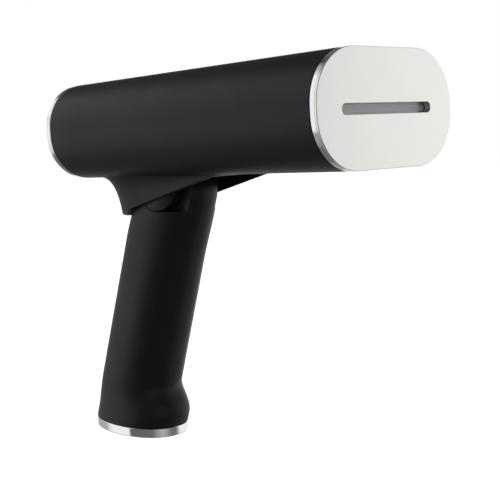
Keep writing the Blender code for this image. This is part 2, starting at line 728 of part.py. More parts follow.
def handle_rings(inset, low, high=None):
    """Sections along the handle from low, up to high or over the domed top."""
    dome = high is None
    top = PIVOT_UP + DOME_END * (DOME_HEIGHT - inset) if dome else high
    middle = [-55, -52, -49, -46, -43, -40, -36, -25, -10, 30, 38, 45, 51, 57, 64, PIVOT_UP]
    over = [PIVOT_UP + (DOME_HEIGHT - inset) * share for share in (0.4, 0.7, 0.88)]
    stations = [low] + [z for z in middle + over if low < z < top] + [top]
    return [handle_ring(z, inset, dome) for z in stations]


def level_station(height):
    """The place along the handle whose level section is at this height."""
    return height / cos(LEAN)


def handle_shell():
    low = level_station(BASE_TOP)
    shell = loft("handle_shell", handle_rings(HANDLE_WALL, low)[::-1] + handle_rings(0.0, low), LEAN_FRAME,
                 "black_shell")
    button_hole = slab("button_cut", [button_outline(0.4)], "XZ", 10, 30, LEAN_FRAME)
    lens_hole = cylinder("lens_cut", (0, HANDLE_REAR, LENS_Z), LENS_RADIUS + GAP, 12, "Y",
                         LEAN_FRAME, steps=16)
    for cutter in (*POCKETS, WIRE_WAY, button_hole, lens_hole):
        combine(shell, cutter)


def hinge_knuckle():
    """The solid tongue inside the handle's top, which turns between the two lugs."""
    knuckle = loft("hinge_knuckle", handle_rings(HANDLE_WALL + GAP, 46), LEAN_FRAME, "black_inner")
    bore = cylinder("bush_bore", (0, PIVOT_Y, PIVOT_Z), BUSH_OUTER + GAP, 40, "X", HEAD)
    for cutter in (*POCKETS, WIRE_WAY, bore):
        combine(knuckle, cutter)
    centre = (PIVOT_Y, PIVOT_Z)
    bush = [circle_outline(BUSH_OUTER, centre), circle_outline(PIN_RADIUS + 0.05, centre)]
    washer = [circle_outline(7.0, centre), circle_outline(PIN_RADIUS + GAP, centre)]
    for side, sign in (("left", -1), ("right", 1)):
        for name, outlines, inner, outer, finish in (
                (f"hinge_bush_{side}", bush, 0.4, TONGUE_HALF - GAP, "brass"),
                (f"friction_washer_{side}", washer, TONGUE_HALF + 0.2, LUG_INNER - 0.2, "steel")):
            low, high = sorted((sign * inner, sign * outer))
            slab(name, outlines, "YZ", low, high, HINGE_FRAME, finish)


def button_outline(margin):
    return flat_oval(BUTTON_WIDTH + 2 * margin, BUTTON_LENGTH + 2 * margin, 4 + margin,
                     (0, BUTTON_Z), steps=5)


def steam_button():
    """A thumb button on the back of the grip; its flange stays behind the wall."""
    flange_rear = 17.4
    button = slab("steam_button", [button_outline(0)], "XZ", flange_rear - 0.5, HANDLE_REAR + BUTTON_PROUD,
                  LEAN_FRAME, "black_shell")
    flange = slab("button_flange", [button_outline(0.9)], "XZ", flange_rear - 1.8, flange_rear, LEAN_FRAME)
    combine(button, flange, "UNION")
    box("micro_switch", (-3.2, 5.9, BUTTON_Z - 6), (3.2, 12.4, BUTTON_Z + 6),
        LEAN_FRAME, "black_inner", bevel=0.4)
    cylinder("indicator_lens", (0, HANDLE_REAR - 1.0, LENS_Z), LENS_RADIUS, 2.2, "Y", LEAN_FRAME, "lens", steps=16)


def electronics():
    """Control board on a channel-shaped carrier along the grip."""
    inside = [(11.8, 6), (11.8, -3.8), (10.2, -9.6)]
    outside = [(11, -11), (13, -4), (13, 6)]
    outline = inside + [(-x, y) for x, y in inside[::-1]] + [(-x, y) for x, y in outside[::-1]] + outside
    slab("board_carrier", [outline], "XY", -34, 42, LEAN_FRAME, "black_inner")
    box("control_board", (-11.4, 4.0, -30), (11.4, 5.6, 40), LEAN_FRAME, "green_board")
    box("relay", (-7, -6, -6), (7, 3.7, 12), LEAN_FRAME, "white_plastic", bevel=0.6)
    for name, side in (("live_wire", -1), ("neutral_wire", 1)):
        x = side * 4.3
        route = [(x, -0.4, -46.7), (x, -0.1, -43), (x * 1.2, 1, -38), (x * 1.4, 2.7, -32), (x * 1.4, 2.8, -26)]
        round_bar(name, smooth_route(route), 0.9, LEAN_FRAME, "wire_sleeve")


def base_outline(inset):
    """The handle's level section at its foot, drawn in by inset."""
    foot = handle_ring(level_station(BASE_TOP), inset)
    return [(x, y / cos(LEAN) - BASE_TOP * tan(LEAN)) for x, y, _ in foot]


def base():
    slab("base_ring", [base_outline(0.0), base_outline(BASE_RING_WALL)], "XY", BASE_BOTTOM, BASE_TOP - GAP,
         LEVEL_FRAME, "chrome")
    cap = slab("base_cap", [base_outline(BASE_RING_WALL + GAP)], "XY", BASE_BOTTOM + 0.5, BASE_TOP + 0.9,
               LEVEL_FRAME, "black_shell")
    size = (2 * INLET_HALF_X, 2 * INLET_HALF_Y)
    middle = (0, BASE_MID_Y)
    seat = slab("inlet_seat", [flat_oval(size[0] + 2 * GAP, size[1] + 2 * GAP, 5, middle, steps=5)], "XY",
                BASE_BOTTOM - 2, INLET_TOP, LEVEL_FRAME)
    combine(cap, seat)
    inlet = slab("power_inlet", [flat_oval(*size, 4.8, middle, steps=5)], "XY", BASE_BOTTOM + 0.5, INLET_TOP,
                 LEVEL_FRAME, "black_inner")
    opening = flat_oval(size[0] - 2 * INLET_WALL, size[1] - 2 * INLET_WALL, 3.4, middle, steps=5)
    mouth = slab("inlet_mouth", [opening], "XY", BASE_BOTTOM - 2, INLET_TOP - 2, LEVEL_FRAME)
    combine(inlet, mouth)
    for side, x in (("left", -4.3), ("right", 4.3)):
        cylinder(f"inlet_pin_{side}", (x, BASE_MID_Y, INLET_TOP - 7.4), 1.15, 9.6, "Z",
                 LEVEL_FRAME, "brass", steps=12)


HINGE_FRAME = make_frame("hinge_seat", PIVOT_PLACE - Vector((0, PIVOT_Y, PIVOT_Z)))
POCKETS = pocket_cutters()
WIRE_WAY = cylinder("wire_way", (0, 8, PIVOT_UP), 3.2, 70, "Z", LEAN_FRAME, steps=16)

barrel_shell()
trim_ring("front_ring", PLATE_FLANGE + GAP, FRONT_BAND, TRIM_WALL)
steam_plate()
diffuser_screen()
plate_seal()
front_bulkhead()
steam_horn()
boiler()
heating_element()
heat_shield()
boiler_safety()
pump()
hoses()
water_tank()
trim_ring("rear_ring", SHELL_END + GAP, REAR_END, 2.0)
rear_cap()
fill_flap()
well_liner()
hinge_fork()
handle_shell()
hinge_knuckle()
steam_button()
electronics()
base()
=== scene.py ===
"""Looks of a hand-held garment steamer, built round its fixed frame.

Sizes are in millimetres and `shape` turns them into metres. The barrel is drawn in its own frame,
with y running back from the steam plate and z up from its middle line. The handle is drawn in a
frame that leans with it, with z running up along the handle from the middle of the grip.
"""
import json
from math import atan2, cos, pi, radians, sin, sqrt, tan

import bmesh
import bpy
from mathutils import Matrix, Vector


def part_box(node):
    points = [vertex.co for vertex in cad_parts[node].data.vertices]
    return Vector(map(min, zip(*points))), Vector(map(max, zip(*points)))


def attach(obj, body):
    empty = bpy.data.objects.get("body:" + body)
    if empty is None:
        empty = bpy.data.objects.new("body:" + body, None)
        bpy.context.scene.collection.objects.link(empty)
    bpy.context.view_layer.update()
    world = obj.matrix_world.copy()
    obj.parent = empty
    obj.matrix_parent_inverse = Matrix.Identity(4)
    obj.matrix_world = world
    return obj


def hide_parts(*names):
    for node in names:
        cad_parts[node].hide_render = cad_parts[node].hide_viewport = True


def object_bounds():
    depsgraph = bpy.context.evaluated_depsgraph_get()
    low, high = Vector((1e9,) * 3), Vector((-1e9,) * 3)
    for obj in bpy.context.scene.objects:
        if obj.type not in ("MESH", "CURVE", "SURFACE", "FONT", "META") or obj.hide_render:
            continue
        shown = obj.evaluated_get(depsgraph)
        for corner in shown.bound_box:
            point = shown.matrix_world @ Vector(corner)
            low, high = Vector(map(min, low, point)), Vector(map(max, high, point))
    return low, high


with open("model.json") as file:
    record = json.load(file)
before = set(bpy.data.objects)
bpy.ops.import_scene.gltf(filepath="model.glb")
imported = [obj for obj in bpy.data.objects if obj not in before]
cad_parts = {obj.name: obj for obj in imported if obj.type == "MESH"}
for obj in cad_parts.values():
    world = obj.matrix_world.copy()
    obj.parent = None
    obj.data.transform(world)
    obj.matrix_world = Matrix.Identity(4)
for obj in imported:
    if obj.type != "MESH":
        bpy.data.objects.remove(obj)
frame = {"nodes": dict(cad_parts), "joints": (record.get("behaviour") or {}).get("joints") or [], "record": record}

CAD_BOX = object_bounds()
MM = 0.001
JOINTS = {joint["name"]: joint for joint in frame["joints"]}


def node_box(name):
    low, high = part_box(name)
    return low / MM, high / MM


def joint_place(name):
    return Vector(JOINTS[name]["pos_m"]) / MM


# ------------------------------------------------------------- places read from the frame

RING_LOW, RING_HIGH = node_box("front_ring")
SHELL_HIGH = node_box("barrel_shell")[1]
REAR_LOW, REAR_HIGH = node_box("rear_ring")
PLATE_LOW, PLATE_HIGH = node_box("steam_plate")
BARREL = Matrix.Translation((0, PLATE_LOW.y, (PLATE_LOW.z + PLATE_HIGH.z) / 2))
PRESS = JOINTS["button_press"]["axis"]
LEAN = atan2(-PRESS[2], -PRESS[1])
GRIP = Matrix.Rotation(LEAN, 4, "X")
LEVEL = Matrix()
PIVOT = joint_place("handle_fold")

# ------------------------------------------------------------- barrel, mm in the barrel's frame

BARREL_WIDTH = PLATE_HIGH.x - PLATE_LOW.x
BARREL_HEIGHT = PLATE_HIGH.z - PLATE_LOW.z
BARREL_CORNER = 21.3
BARREL_WALL = 2.2
BELLY = -BARREL_HEIGHT / 2
FLAT_HALF = BARREL_WIDTH / 2 - BARREL_CORNER
CORNER_RISE = BARREL_HEIGHT / 2 - BARREL_CORNER
PLATE_BACK = PLATE_HIGH.y - PLATE_LOW.y
PLATE_FLANGE = 0.9
BAND_START = RING_LOW.y - PLATE_LOW.y
BAND_END = RING_HIGH.y - PLATE_LOW.y
BAND_WALL = 1.2
REAR_WALL = 2.0
SLOT_WIDTH = 52.0
SLOT_HEIGHT = 4.2
SLOT_CORNER = 1.9
SCREEN_WIDTH = 54.4
SCREEN_HEIGHT = 6.8
SCREEN_FRONT = 2.95
SCREEN_PITCH = 0.6
SHELL_END = SHELL_HIGH.y - PLATE_LOW.y
REAR_END = REAR_HIGH.y - PLATE_LOW.y
REAR_START = REAR_LOW.y - PLATE_LOW.y
PIVOT_Y = PIVOT.y - BARREL.translation.y
PIVOT_Z = PIVOT.z - BARREL.translation.z

SKIRT_HALF = 18.8
SKIRT_INNER = 17.0
SKIRT_FRONT = 82.0
SKIRT_REAR = 165.4
WELL_FRONT = 84.5
HEM_Y = 143.0
HEM_Z = -37.8
HEM_SLOPE = tan(radians(13.3))
WELL_ROOF = -6.6
BRIDGE_THICK = 1.9

# ------------------------------------------------------------- handle, mm in the leaning frame

IN_GRIP = GRIP.inverted() @ PIVOT
PIVOT_UP = IN_GRIP.z
PIVOT_AHEAD = -IN_GRIP.y
HANDLE_HALF_WIDTH = 16.2
HANDLE_FRONT = -22.5
HANDLE_REAR = 21.6
FRONT_SWAY = 1.0
REAR_SWAY = 1.8
SWAY_START = 38.0
SWAY_END = 64.0
HANDLE_WALL = 2.2
HANDLE_POWER = 2.15
FOOT_WIDEN = 2.1
DOME_HEIGHT = 13.5
DOME_STEPS = 16
DOME_CLOSED = 0.85
RING_SPACING = 1.6
BASE_LOW = node_box("base_ring")[0]
BASE_TOP = -55.1
BASE_RING_WALL = 2.7
TOE_REACH = 11.2
TOE_START = -35.0
TOE_END = -54.5
LUG_RADIUS = 11.3
TONGUE_HALF = 8.3
TONGUE_LOW = 46.0
LUG_INNER = 9.4
PIN_RADIUS = 2.5
BUSH_RADIUS = 4.1
WIRE_WAY_Y = 8.0
WIRE_WAY_RADIUS = 3.2
BUTTON_Z = 28.0
BUTTON_WIDTH = 11.0
BUTTON_LENGTH = 16.0
BUTTON_CORNER = 4.0
BUTTON_PROUD = 1.5
BUTTON_GAP = 0.4
FLANGE_FRONT = 15.6
FLANGE_REAR = 17.4
LENS_Z = 10.0
LENS_HOLE = 2.15
FAR = 60.0


# ------------------------------------------------------------- node and colour helpers

def linear(code):
    """sRGB hex to the linear colour that shaders read."""
    channels = [int(code[i:i + 2], 16) / 255 for i in (1, 3, 5)]
    return (*[c / 12.92 if c <= 0.04045 else ((c + 0.055) / 1.055) ** 2.4 for c in channels], 1.0)


def add(tree, kind, settings=None, inputs=None):
    """Add a node: settings are its own properties, inputs are values or the sockets to link."""
    made = tree.nodes.new(kind)
    for key, value in (settings or {}).items():
        setattr(made, key, value)
    for key, value in (inputs or {}).items():
        if isinstance(value, bpy.types.NodeSocket):
            tree.links.new(value, made.inputs[key])
        else:
            made.inputs[key].default_value = value
    return made


def maths(tree, operation, *values):
    """A maths node's result, from values or sockets."""
    return add(tree, "ShaderNodeMath", {"operation": operation}, dict(enumerate(values))).outputs[0]


def per(size):
    """Pattern scale for features of this size in millimetres."""
    return 1 / (size * MM)


def surface(name, colour, roughness, metallic=0.0, **constants):
    """A named Principled material; constants go straight on the shader's own sockets."""
    material = bpy.data.materials.new(name)
    material.use_nodes = True
    shader = material.node_tree.nodes["Principled BSDF"]
    shader.inputs["Base Color"].default_value = linear(colour)
    shader.inputs["Roughness"].default_value = roughness
    shader.inputs["Metallic"].default_value = metallic
    for key, value in constants.items():
        shader.inputs[key.replace("_", " ")].default_value = value
    return material, material.node_tree, shader


def grain(tree, shader, size, depth, stretch=(1, 1, 1), strength=0.5, detail=3.0):
    """Raise a fine noise on the surface; size and depth are in millimetres."""
    place = add(tree, "ShaderNodeTexCoord")
    drawn = add(tree, "ShaderNodeMapping", inputs={"Vector": place.outputs["Object"], "Scale": stretch})
    noise = add(tree, "ShaderNodeTexNoise", inputs={
        "Vector": drawn.outputs[0], "Scale": per(size), "Detail": detail, "Roughness": 0.55})
    bump = add(tree, "ShaderNodeBump",
               inputs={"Height": noise.outputs[0], "Strength": strength, "Distance": depth * MM})
    tree.links.new(bump.outputs[0], shader.inputs["Normal"])
    return noise


def mottle(tree, shader, size, low, high, colours=None):
    """Slow changes of roughness, and of colour when two hex values are given."""
    place = add(tree, "ShaderNodeTexCoord")
    cloud = add(tree, "ShaderNodeTexNoise",
                inputs={"Vector": place.outputs["Object"], "Scale": per(size), "Detail": 4.0})
    span = add(tree, "ShaderNodeMapRange", inputs={
        "Value": cloud.outputs[0], "From Min": 0.3, "From Max": 0.7, "To Min": low, "To Max": high})
    tree.links.new(span.outputs[0], shader.inputs["Roughness"])
    if colours:
        ramp = add(tree, "ShaderNodeValToRGB", inputs={"Fac": cloud.outputs[0]})
        for stop, (place_on_ramp, code) in zip(ramp.color_ramp.elements, zip((0.35, 0.65), colours)):
            stop.position = place_on_ramp
            stop.color = linear(code)
        tree.links.new(ramp.outputs[0], shader.inputs["Base Color"])


# ------------------------------------------------------------- materials

def moulded_abs():
    """ABS moulded in a spark-eroded tool: dull black, with a fine even grain that spreads highlights."""
    material, tree, shader = surface("black_spark_textured_abs", "#1e1e1f", 0.48, IOR=1.4)
    mottle(tree, shader, 22, 0.45, 0.51, ("#1d1d1e", "#202021"))
    grain(tree, shader, 0.35, 0.012, strength=0.25)
    return material


def filled_nylon():
    """Glass-filled nylon: black with a greyish bloom and a coarser, duller skin."""
    material, tree, shader = surface("black_glass_filled_nylon", "#1b1b1c", 0.6, IOR=1.52)
    mottle(tree, shader, 9, 0.52, 0.66, ("#171718", "#222223"))
    grain(tree, shader, 0.5, 0.03, stretch=(1, 0.4, 1), strength=0.5)
    return material


def chrome_plate():
    """Bright chrome on a moulded ring: a mirror with a faint ripple and hairline polishing marks."""
    material, tree, shader = surface("chrome_plated_abs", "#ececee", 0.06, 1.0)
    mottle(tree, shader, 6, 0.045, 0.085)
    grain(tree, shader, 5.0, 0.01, strength=0.12, detail=1.0)
    return material


def satin_aluminium():
    """Bead-blasted and anodised aluminium: bright silver, soft reflections, a fine frosted grain."""
    material, tree, shader = surface("satin_anodised_aluminium", "#fafaf7", 0.3, 1.0)
    mottle(tree, shader, 14, 0.28, 0.33, ("#f8f8f5", "#fcfcf9"))
    grain(tree, shader, 0.3, 0.006, strength=0.3)
    return material


def etched_screen():
    """Etched stainless screen: mid grey, dull from the acid."""
    material, tree, shader = surface("etched_stainless_screen", "#b8b4b9", 0.45, 1.0)
    mottle(tree, shader, 1.5, 0.4, 0.52, ("#b2aeb3", "#bfbbc0"))
    grain(tree, shader, 0.25, 0.01, strength=0.4)
    return material


def die_cast():
    """Die-cast aluminium: pale grey, orange-peel skin with darker flow marks."""
    material, tree, shader = surface("die_cast_aluminium", "#b9bbbd", 0.5, 1.0)
    mottle(tree, shader, 7, 0.42, 0.6, ("#a9abad", "#c6c8ca"))
    grain(tree, shader, 0.7, 0.06, strength=0.6, detail=5.0)
    return material


def plated_steel():
    """Zinc-plated steel: bright, slightly blue, with drawn streaks."""
    material, tree, shader = surface("zinc_plated_steel", "#c8cacd", 0.28, 1.0)
    mottle(tree, shader, 4, 0.22, 0.36, ("#bfc2c6", "#d2d3d4"))
    grain(tree, shader, 0.4, 0.006, stretch=(1, 0.15, 1), strength=0.4)
    return material


def silicone_rubber():
    """Heat-proof silicone: red-brown, matt, with a dusty bloom."""
    material, tree, shader = surface("red_silicone_rubber", "#a8452f", 0.55, IOR=1.43)
    mottle(tree, shader, 5, 0.5, 0.64, ("#9c3f2b", "#b24c35"))
    grain(tree, shader, 0.6, 0.02, strength=0.35)
    return material


def smoked_tank():
    """Smoked clear SAN: dark grey, see-through and glossy, with slight sink ripples."""
    material, tree, shader = surface("smoked_clear_san", "#8b8d92", 0.08, IOR=1.57, Transmission_Weight=0.8)
    mottle(tree, shader, 12, 0.06, 0.12)
    grain(tree, shader, 8.0, 0.03, strength=0.2, detail=1.0)
    return material


def turned_brass():
    """Turned brass: warm yellow with fine tool rings."""
    material, tree, shader = surface("turned_brass", "#d9b36c", 0.28, 1.0)
    mottle(tree, shader, 3, 0.22, 0.36, ("#cfa75e", "#dfbb78"))
    grain(tree, shader, 0.3, 0.01, stretch=(0.3, 1, 1), strength=0.4)
    return material


def natural_nylon():
    """Natural nylon: milky white, softly shining."""
    material, tree, shader = surface("natural_white_nylon", "#dedcd3", 0.42, IOR=1.53)
    mottle(tree, shader, 8, 0.36, 0.5, ("#d6d4ca", "#e4e2da"))
    grain(tree, shader, 0.8, 0.02, strength=0.3)
    return material


def circuit_laminate():
    """Glass-epoxy board under green solder mask, with the paler lines of its copper tracks."""
    material, tree, shader = surface("green_glass_epoxy_board", "#1f6b3a", 0.35, IOR=1.55)
    place = add(tree, "ShaderNodeTexCoord")
    tracks = add(tree, "ShaderNodeTexBrick", {"offset": 0.37, "squash": 0.6}, {
        "Vector": place.outputs["Object"], "Scale": per(9), "Mortar Size": 0.03,
        "Color1": linear("#1d6436"), "Color2": linear("#22713e"), "Mortar": linear("#3f9a5c")})
    tree.links.new(tracks.outputs["Color"], shader.inputs["Base Color"])
    grain(tree, shader, 1.2, 0.02, strength=0.4)
    return material


def wire_sleeving():
    """Silicone wire sleeve: plain red, smooth and slightly waxy."""
    material, tree, shader = surface("red_wire_sleeve", "#b3221d", 0.45, IOR=1.43)
    mottle(tree, shader, 3, 0.4, 0.55, ("#a81f1a", "#bd2822"))
    return material


def lens_acrylic():
    """Clear acrylic light window, faintly milky so that the lamp behind it spreads."""
    material, tree, shader = surface("milky_acrylic_lens", "#dfe6ee", 0.12, IOR=1.49,
                                     Transmission_Weight=0.35)
    mottle(tree, shader, 1.2, 0.1, 0.18)
    return material


FINISHES = {
    "black_shell": moulded_abs(), "black_inner": filled_nylon(), "chrome_trim": chrome_plate(),
    "satin_plate": satin_aluminium(), "grey_screen": etched_screen(), "cast_aluminium": die_cast(),
    "steel": plated_steel(), "silicone": silicone_rubber(), "smoke_tank": smoked_tank(),
    "brass": turned_brass(), "white_plastic": natural_nylon(), "green_board": circuit_laminate(),
    "wire_sleeve": wire_sleeving(), "lens": lens_acrylic(),
}
SLOT_OF = {row["node"]: row["material_slot"] for row in frame["record"]["subparts"]}


# ------------------------------------------------------------- shape helpers

def shape(name, bm, place=LEVEL):
    """Turn a bmesh drawn in millimetres into an object whose place is in its mesh."""
    bmesh.ops.transform(bm, matrix=Matrix.Scale(MM, 4) @ place, verts=bm.verts)
    bmesh.ops.remove_doubles(bm, verts=bm.verts, dist=0.000002)
    bmesh.ops.recalc_face_normals(bm, faces=bm.faces)
    mesh = bpy.data.meshes.new(name)
    bm.to_mesh(mesh)
    bm.free()
    obj = bpy.data.objects.new(name, mesh)
    bpy.context.scene.collection.objects.link(obj)
    return obj


def combine(obj, tool, operation="DIFFERENCE"):
    """Cut obj with a tool, or join or intersect them; the tool is used up."""
    step = obj.modifiers.new("shape", "BOOLEAN")
    step.operation = operation
    step.object = tool
    settle(obj)
    bpy.data.objects.remove(tool, do_unlink=True)
    return obj


def settle(obj):
    """Make the evaluated result the object's own mesh."""
    bpy.context.view_layer.update()
    made = bpy.data.meshes.new_from_object(obj.evaluated_get(bpy.context.evaluated_depsgraph_get()))
    obj.modifiers.clear()
    obj.data = made
    return obj


def soften(obj, width, segments=2, angle=30):
    """Round every edge sharper than the angle."""
    step = obj.modifiers.new("edges", "BEVEL")
    step.width = width * MM
    step.segments = segments
    step.angle_limit = radians(angle)
    step.use_clamp_overlap = True
    return settle(obj)


def fit(obj, body, finish, *nodes, sharp=32):
    """Shade the piece, give it its finish and hang it on its body in place of the frame's nodes."""
    mesh = obj.data
    mesh.shade_smooth()
    mesh.set_sharp_from_angle(angle=radians(sharp))
    weigh = obj.modifiers.new("even_shading", "WEIGHTED_NORMAL")
    weigh.keep_sharp = True
    settle(obj)
    obj.data.materials.clear()
    obj.data.materials.append(FINISHES[finish])
    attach(obj, body)
    if nodes:
        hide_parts(*nodes)
    return obj


def rounded_outline(low, high, corners, steps=24, run=0):
    """A rectangle with round corners, its straight sides split into `run` stretches."""
    (u0, v0), (u1, v1) = low, high
    centres = (
        (u0 + corners[0], v0 + corners[0], pi),
        (u1 - corners[1], v0 + corners[1], 1.5 * pi),
        (u1 - corners[2], v1 - corners[2], 0.0),
        (u0 + corners[3], v1 - corners[3], 0.5 * pi),
    )
    points = []
    for (cu, cv, start), radius in zip(centres, corners):
        for step in range(steps + 1):
            angle = start + 0.5 * pi * step / steps
            points.append((cu + radius * cos(angle), cv + radius * sin(angle)))
    if run < 2:
        return points
    split = []
    for (ua, va), (ub, vb) in zip(points, points[1:] + points[:1]):
        count = run if abs(ub - ua) > 10 else 1
        split += [(ua + (ub - ua) * i / count, va + (vb - va) * i / count) for i in range(count)]
    return split


def flat_oval(width, height, corner, middle=(0.0, 0.0), steps=24, run=0):
    low = (middle[0] - width / 2, middle[1] - height / 2)
    high = (middle[0] + width / 2, middle[1] + height / 2)
    return rounded_outline(low, high, (corner,) * 4, steps, run)


def skin(rings, closed_loop=False, caps=True):
    """Join rings of points into a surface, one after another."""
    bm = bmesh.new()
    rows = [[bm.verts.new(point) for point in ring] for ring in rings]
    pairs = list(zip(rows, rows[1:])) + ([(rows[-1], rows[0])] if closed_loop else [])
    for lower, upper in pairs:
        for i in range(len(lower)):
            j = (i + 1) % len(lower)
            bm.faces.new((lower[i], lower[j], upper[j], upper[i]))
    if caps and not closed_loop:
        bm.faces.new(rows[0])
        bm.faces.new(rows[-1])
    return bm


def edge_steps(start, end, edge, count=4):
    """Depths and insets that round both rims of a plate from start to end."""
    arc = [0.5 * pi * i / count for i in range(count + 1)]
    near = [(start + edge * (1 - sin(a)), edge * (1 - cos(a))) for a in arc[::-1]][::-1]
    near = sorted(near)
    far = [(end - (depth - start), inset) for depth, inset in reversed(near)]
    return near + far


AXES = {"XZ": lambda u, v, w: (u, w, v), "YZ": lambda u, v, w: (w, u, v)}


def prism(outline, start, end, plane):
    return skin([[AXES[plane](u, v, w) for u, v in outline] for w in (start, end)])


def box_block(low, high):
    bm = bmesh.new()
    low = Vector(low)
    size = Vector(high) - low
    place = Matrix.Translation(low + size / 2) @ Matrix.Diagonal((*size, 1))
    bmesh.ops.create_cube(bm, size=1.0, matrix=place)
    return bm


AXIS_TURNS = {"X": Matrix.Rotation(pi / 2, 4, "Y"), "Y": Matrix.Rotation(-pi / 2, 4, "X"), "Z": Matrix()}


def rod(centre, radius, length, axis, steps=48):
    turn = AXIS_TURNS[axis]
    bm = bmesh.new()
    bmesh.ops.create_cone(bm, cap_ends=True, segments=steps, radius1=radius, radius2=radius, depth=length,
                          matrix=Matrix.Translation(centre) @ turn)
    return bm


def signed_power(value, power):
    return abs(value) ** power * (1 if value >= 0 else -1)


# ------------------------------------------------------------- barrel

def belly_height(x):
    """Height of the barrel's underside at this distance from its middle plane."""
    over = max(abs(x) - FLAT_HALF, 0.0)
    return -CORNER_RISE - sqrt(max(BARREL_CORNER**2 - over**2, 0.01))


def belly_slope(x):
    over = max(abs(x) - FLAT_HALF, 0.0)
    return over / sqrt(max(BARREL_CORNER**2 - over**2, 0.01)) * (1 if x > 0 else -1)


def hem_height(y):
    """Height of the skirt's lower edge, which rises towards the front."""
    return HEM_Z - (y - HEM_Y) * HEM_SLOPE


def skirt_plan(half, front, rear, steps=96):
    """Plan of the skirt: straight sides, square at the front and a long round end at the back."""
    reach = 26.0
    run = 30
    side_end = rear - reach
    points = [(-half + 2 * half * i / 12, front) for i in range(12)]
    points += [(half, front + (side_end - front) * i / run) for i in range(run)]
    for step in range(steps + 1):
        angle = pi * step / steps
        side = cos(angle)
        back = sin(angle)
        points.append((half * signed_power(side, 0.87), side_end + reach * back**0.87))
    points += [(-half, side_end + (front - side_end) * i / run) for i in range(1, run)]
    return points


def outward_of(points):
    """Unit normals of a plan that runs anticlockwise, with the front row facing straight ahead."""
    normals = []
    for before, after in zip(points[-1:] + points[:-1], points[1:] + points[:1]):
        along = Vector((after[0] - before[0], after[1] - before[1])).normalized()
        normals.append(Vector((along.y, -along.x)))
    return normals


def skirt_block():
    """The skirt as a solid: rounded hem, nearly upright wall, and a flare that meets the belly tangent."""
    plan = skirt_plan(SKIRT_HALF, SKIRT_FRONT, SKIRT_REAR)
    normals = outward_of(plan)
    lip = 0.5
    rings = []
    for inset, rise in ((lip, 0.0), (0.3 * lip, 0.3 * lip), (0.0, lip)):
        rings.append([(x - n.x * inset, y - n.y * inset * (n.y > -0.5), hem_height(y) + rise)
                      for (x, y), n in zip(plan, normals)])
    steps = 22
    for step in range(steps + 1):
        t = step / steps
        ring = []
        for (x, y), n in zip(plan, normals):
            foot = hem_height(y) + lip
            drop = max(BELLY - foot, 0.05)
            reach = min(9.5, 0.5 * drop) * (n.y > -0.5)
            end_x = x + n.x * reach
            end = (reach, belly_height(end_x) + 0.03)
            slope = belly_slope(end_x) * n.x
            near = (0.36 * reach, end[1] - 0.64 * reach * slope)
            low = (0.1 * reach, foot + 0.45 * (near[1] - foot))
            a, b, c, d = (1 - t)**3, 3 * t * (1 - t)**2, 3 * t * t * (1 - t), t**3
            out = b * low[0] + c * near[0] + d * end[0]
            height = a * foot + b * low[1] + c * near[1] + d * end[1]
            ring.append((x + n.x * out, y + n.y * out, height))
        rings.append(ring)
    rings.append([(x, y, BELLY + 5.0) for x, y, _ in rings[-1]])
    return skin(rings)


def well_block():
    """Room inside the skirt, with a small chamfer where it meets the hem."""
    plan = skirt_plan(SKIRT_INNER, WELL_FRONT, SKIRT_REAR - 1.8)
    normals = outward_of(plan)
    rings = []
    for flare, rise in ((0.45, -12.0), (0.45, 0.0), (0.12, 0.12), (0.0, 0.45)):
        rings.append([(x + n.x * flare, y + n.y * flare, hem_height(y) + rise)
                      for (x, y), n in zip(plan, normals)])
    rings.append([(x, y, BELLY + 4.4) for x, y in plan])
    return skin(rings)


def barrel_outline(inset, steps=40, run=0):
    """The barrel's cross-section drawn in by inset."""
    return flat_oval(BARREL_WIDTH - 2 * inset, BARREL_HEIGHT - 2 * inset, BARREL_CORNER - inset,
                     steps=steps, run=run)


def barrel_body():
    """The flat round-sided tube with its skirt, bored through and opened under the belly."""
    edge = 0.15
    start = BAND_END + 0.4
    depths = edge_steps(start, SHELL_END, edge, 3)
    fine = [SKIRT_FRONT - 12 + 1.6 * i for i in range(64)]
    middle = [(y, 0.0) for y in fine if y < SHELL_END - 2]
    half = len(depths) // 2
    rings = []
    for y, inset in depths[:half] + middle + depths[half:]:
        rings.append([(x, y, z) for x, z in barrel_outline(inset, run=26)])
    shell = shape("barrel_body", skin(rings), BARREL)
    combine(shell, shape("skirt", skirt_block(), BARREL), "UNION")
    bore = barrel_outline(BARREL_WALL, steps=32)
    combine(shell, shape("bore", prism(bore, -5, REAR_END + 5, "XZ"), BARREL))
    combine(shell, shape("well", well_block(), BARREL))
    fit(shell, "barrel", "black_shell", "barrel_shell", sharp=28)


# ------------------------------------------------------------- trim rings, by geometry nodes

def tree_with(name, sockets):
    """A geometry tree with named inputs, each given as (name, socket type, value)."""
    tree = bpy.data.node_groups.new(name, "GeometryNodeTree")
    tree.interface.new_socket("Geometry", in_out="INPUT", socket_type="NodeSocketGeometry")
    for label, kind, value in sockets:
        socket = tree.interface.new_socket(label, in_out="INPUT", socket_type=kind)
        if value is not None:
            socket.default_value = value
    tree.interface.new_socket("Geometry", in_out="OUTPUT", socket_type="NodeSocketGeometry")
    return tree, add(tree, "NodeGroupInput").outputs, tree.nodes.new("NodeGroupOutput")


def close_tree(tree, geometry, given, end):
    """Every tree ends the same way: real geometry that carries its finish."""
    real = add(tree, "GeometryNodeRealizeInstances", inputs={"Geometry": geometry})
    coated = add(tree, "GeometryNodeSetMaterial",
                 inputs={"Geometry": real.outputs[0], "Material": given["Finish"]})
    tree.links.new(coated.outputs[0], end.inputs[0])


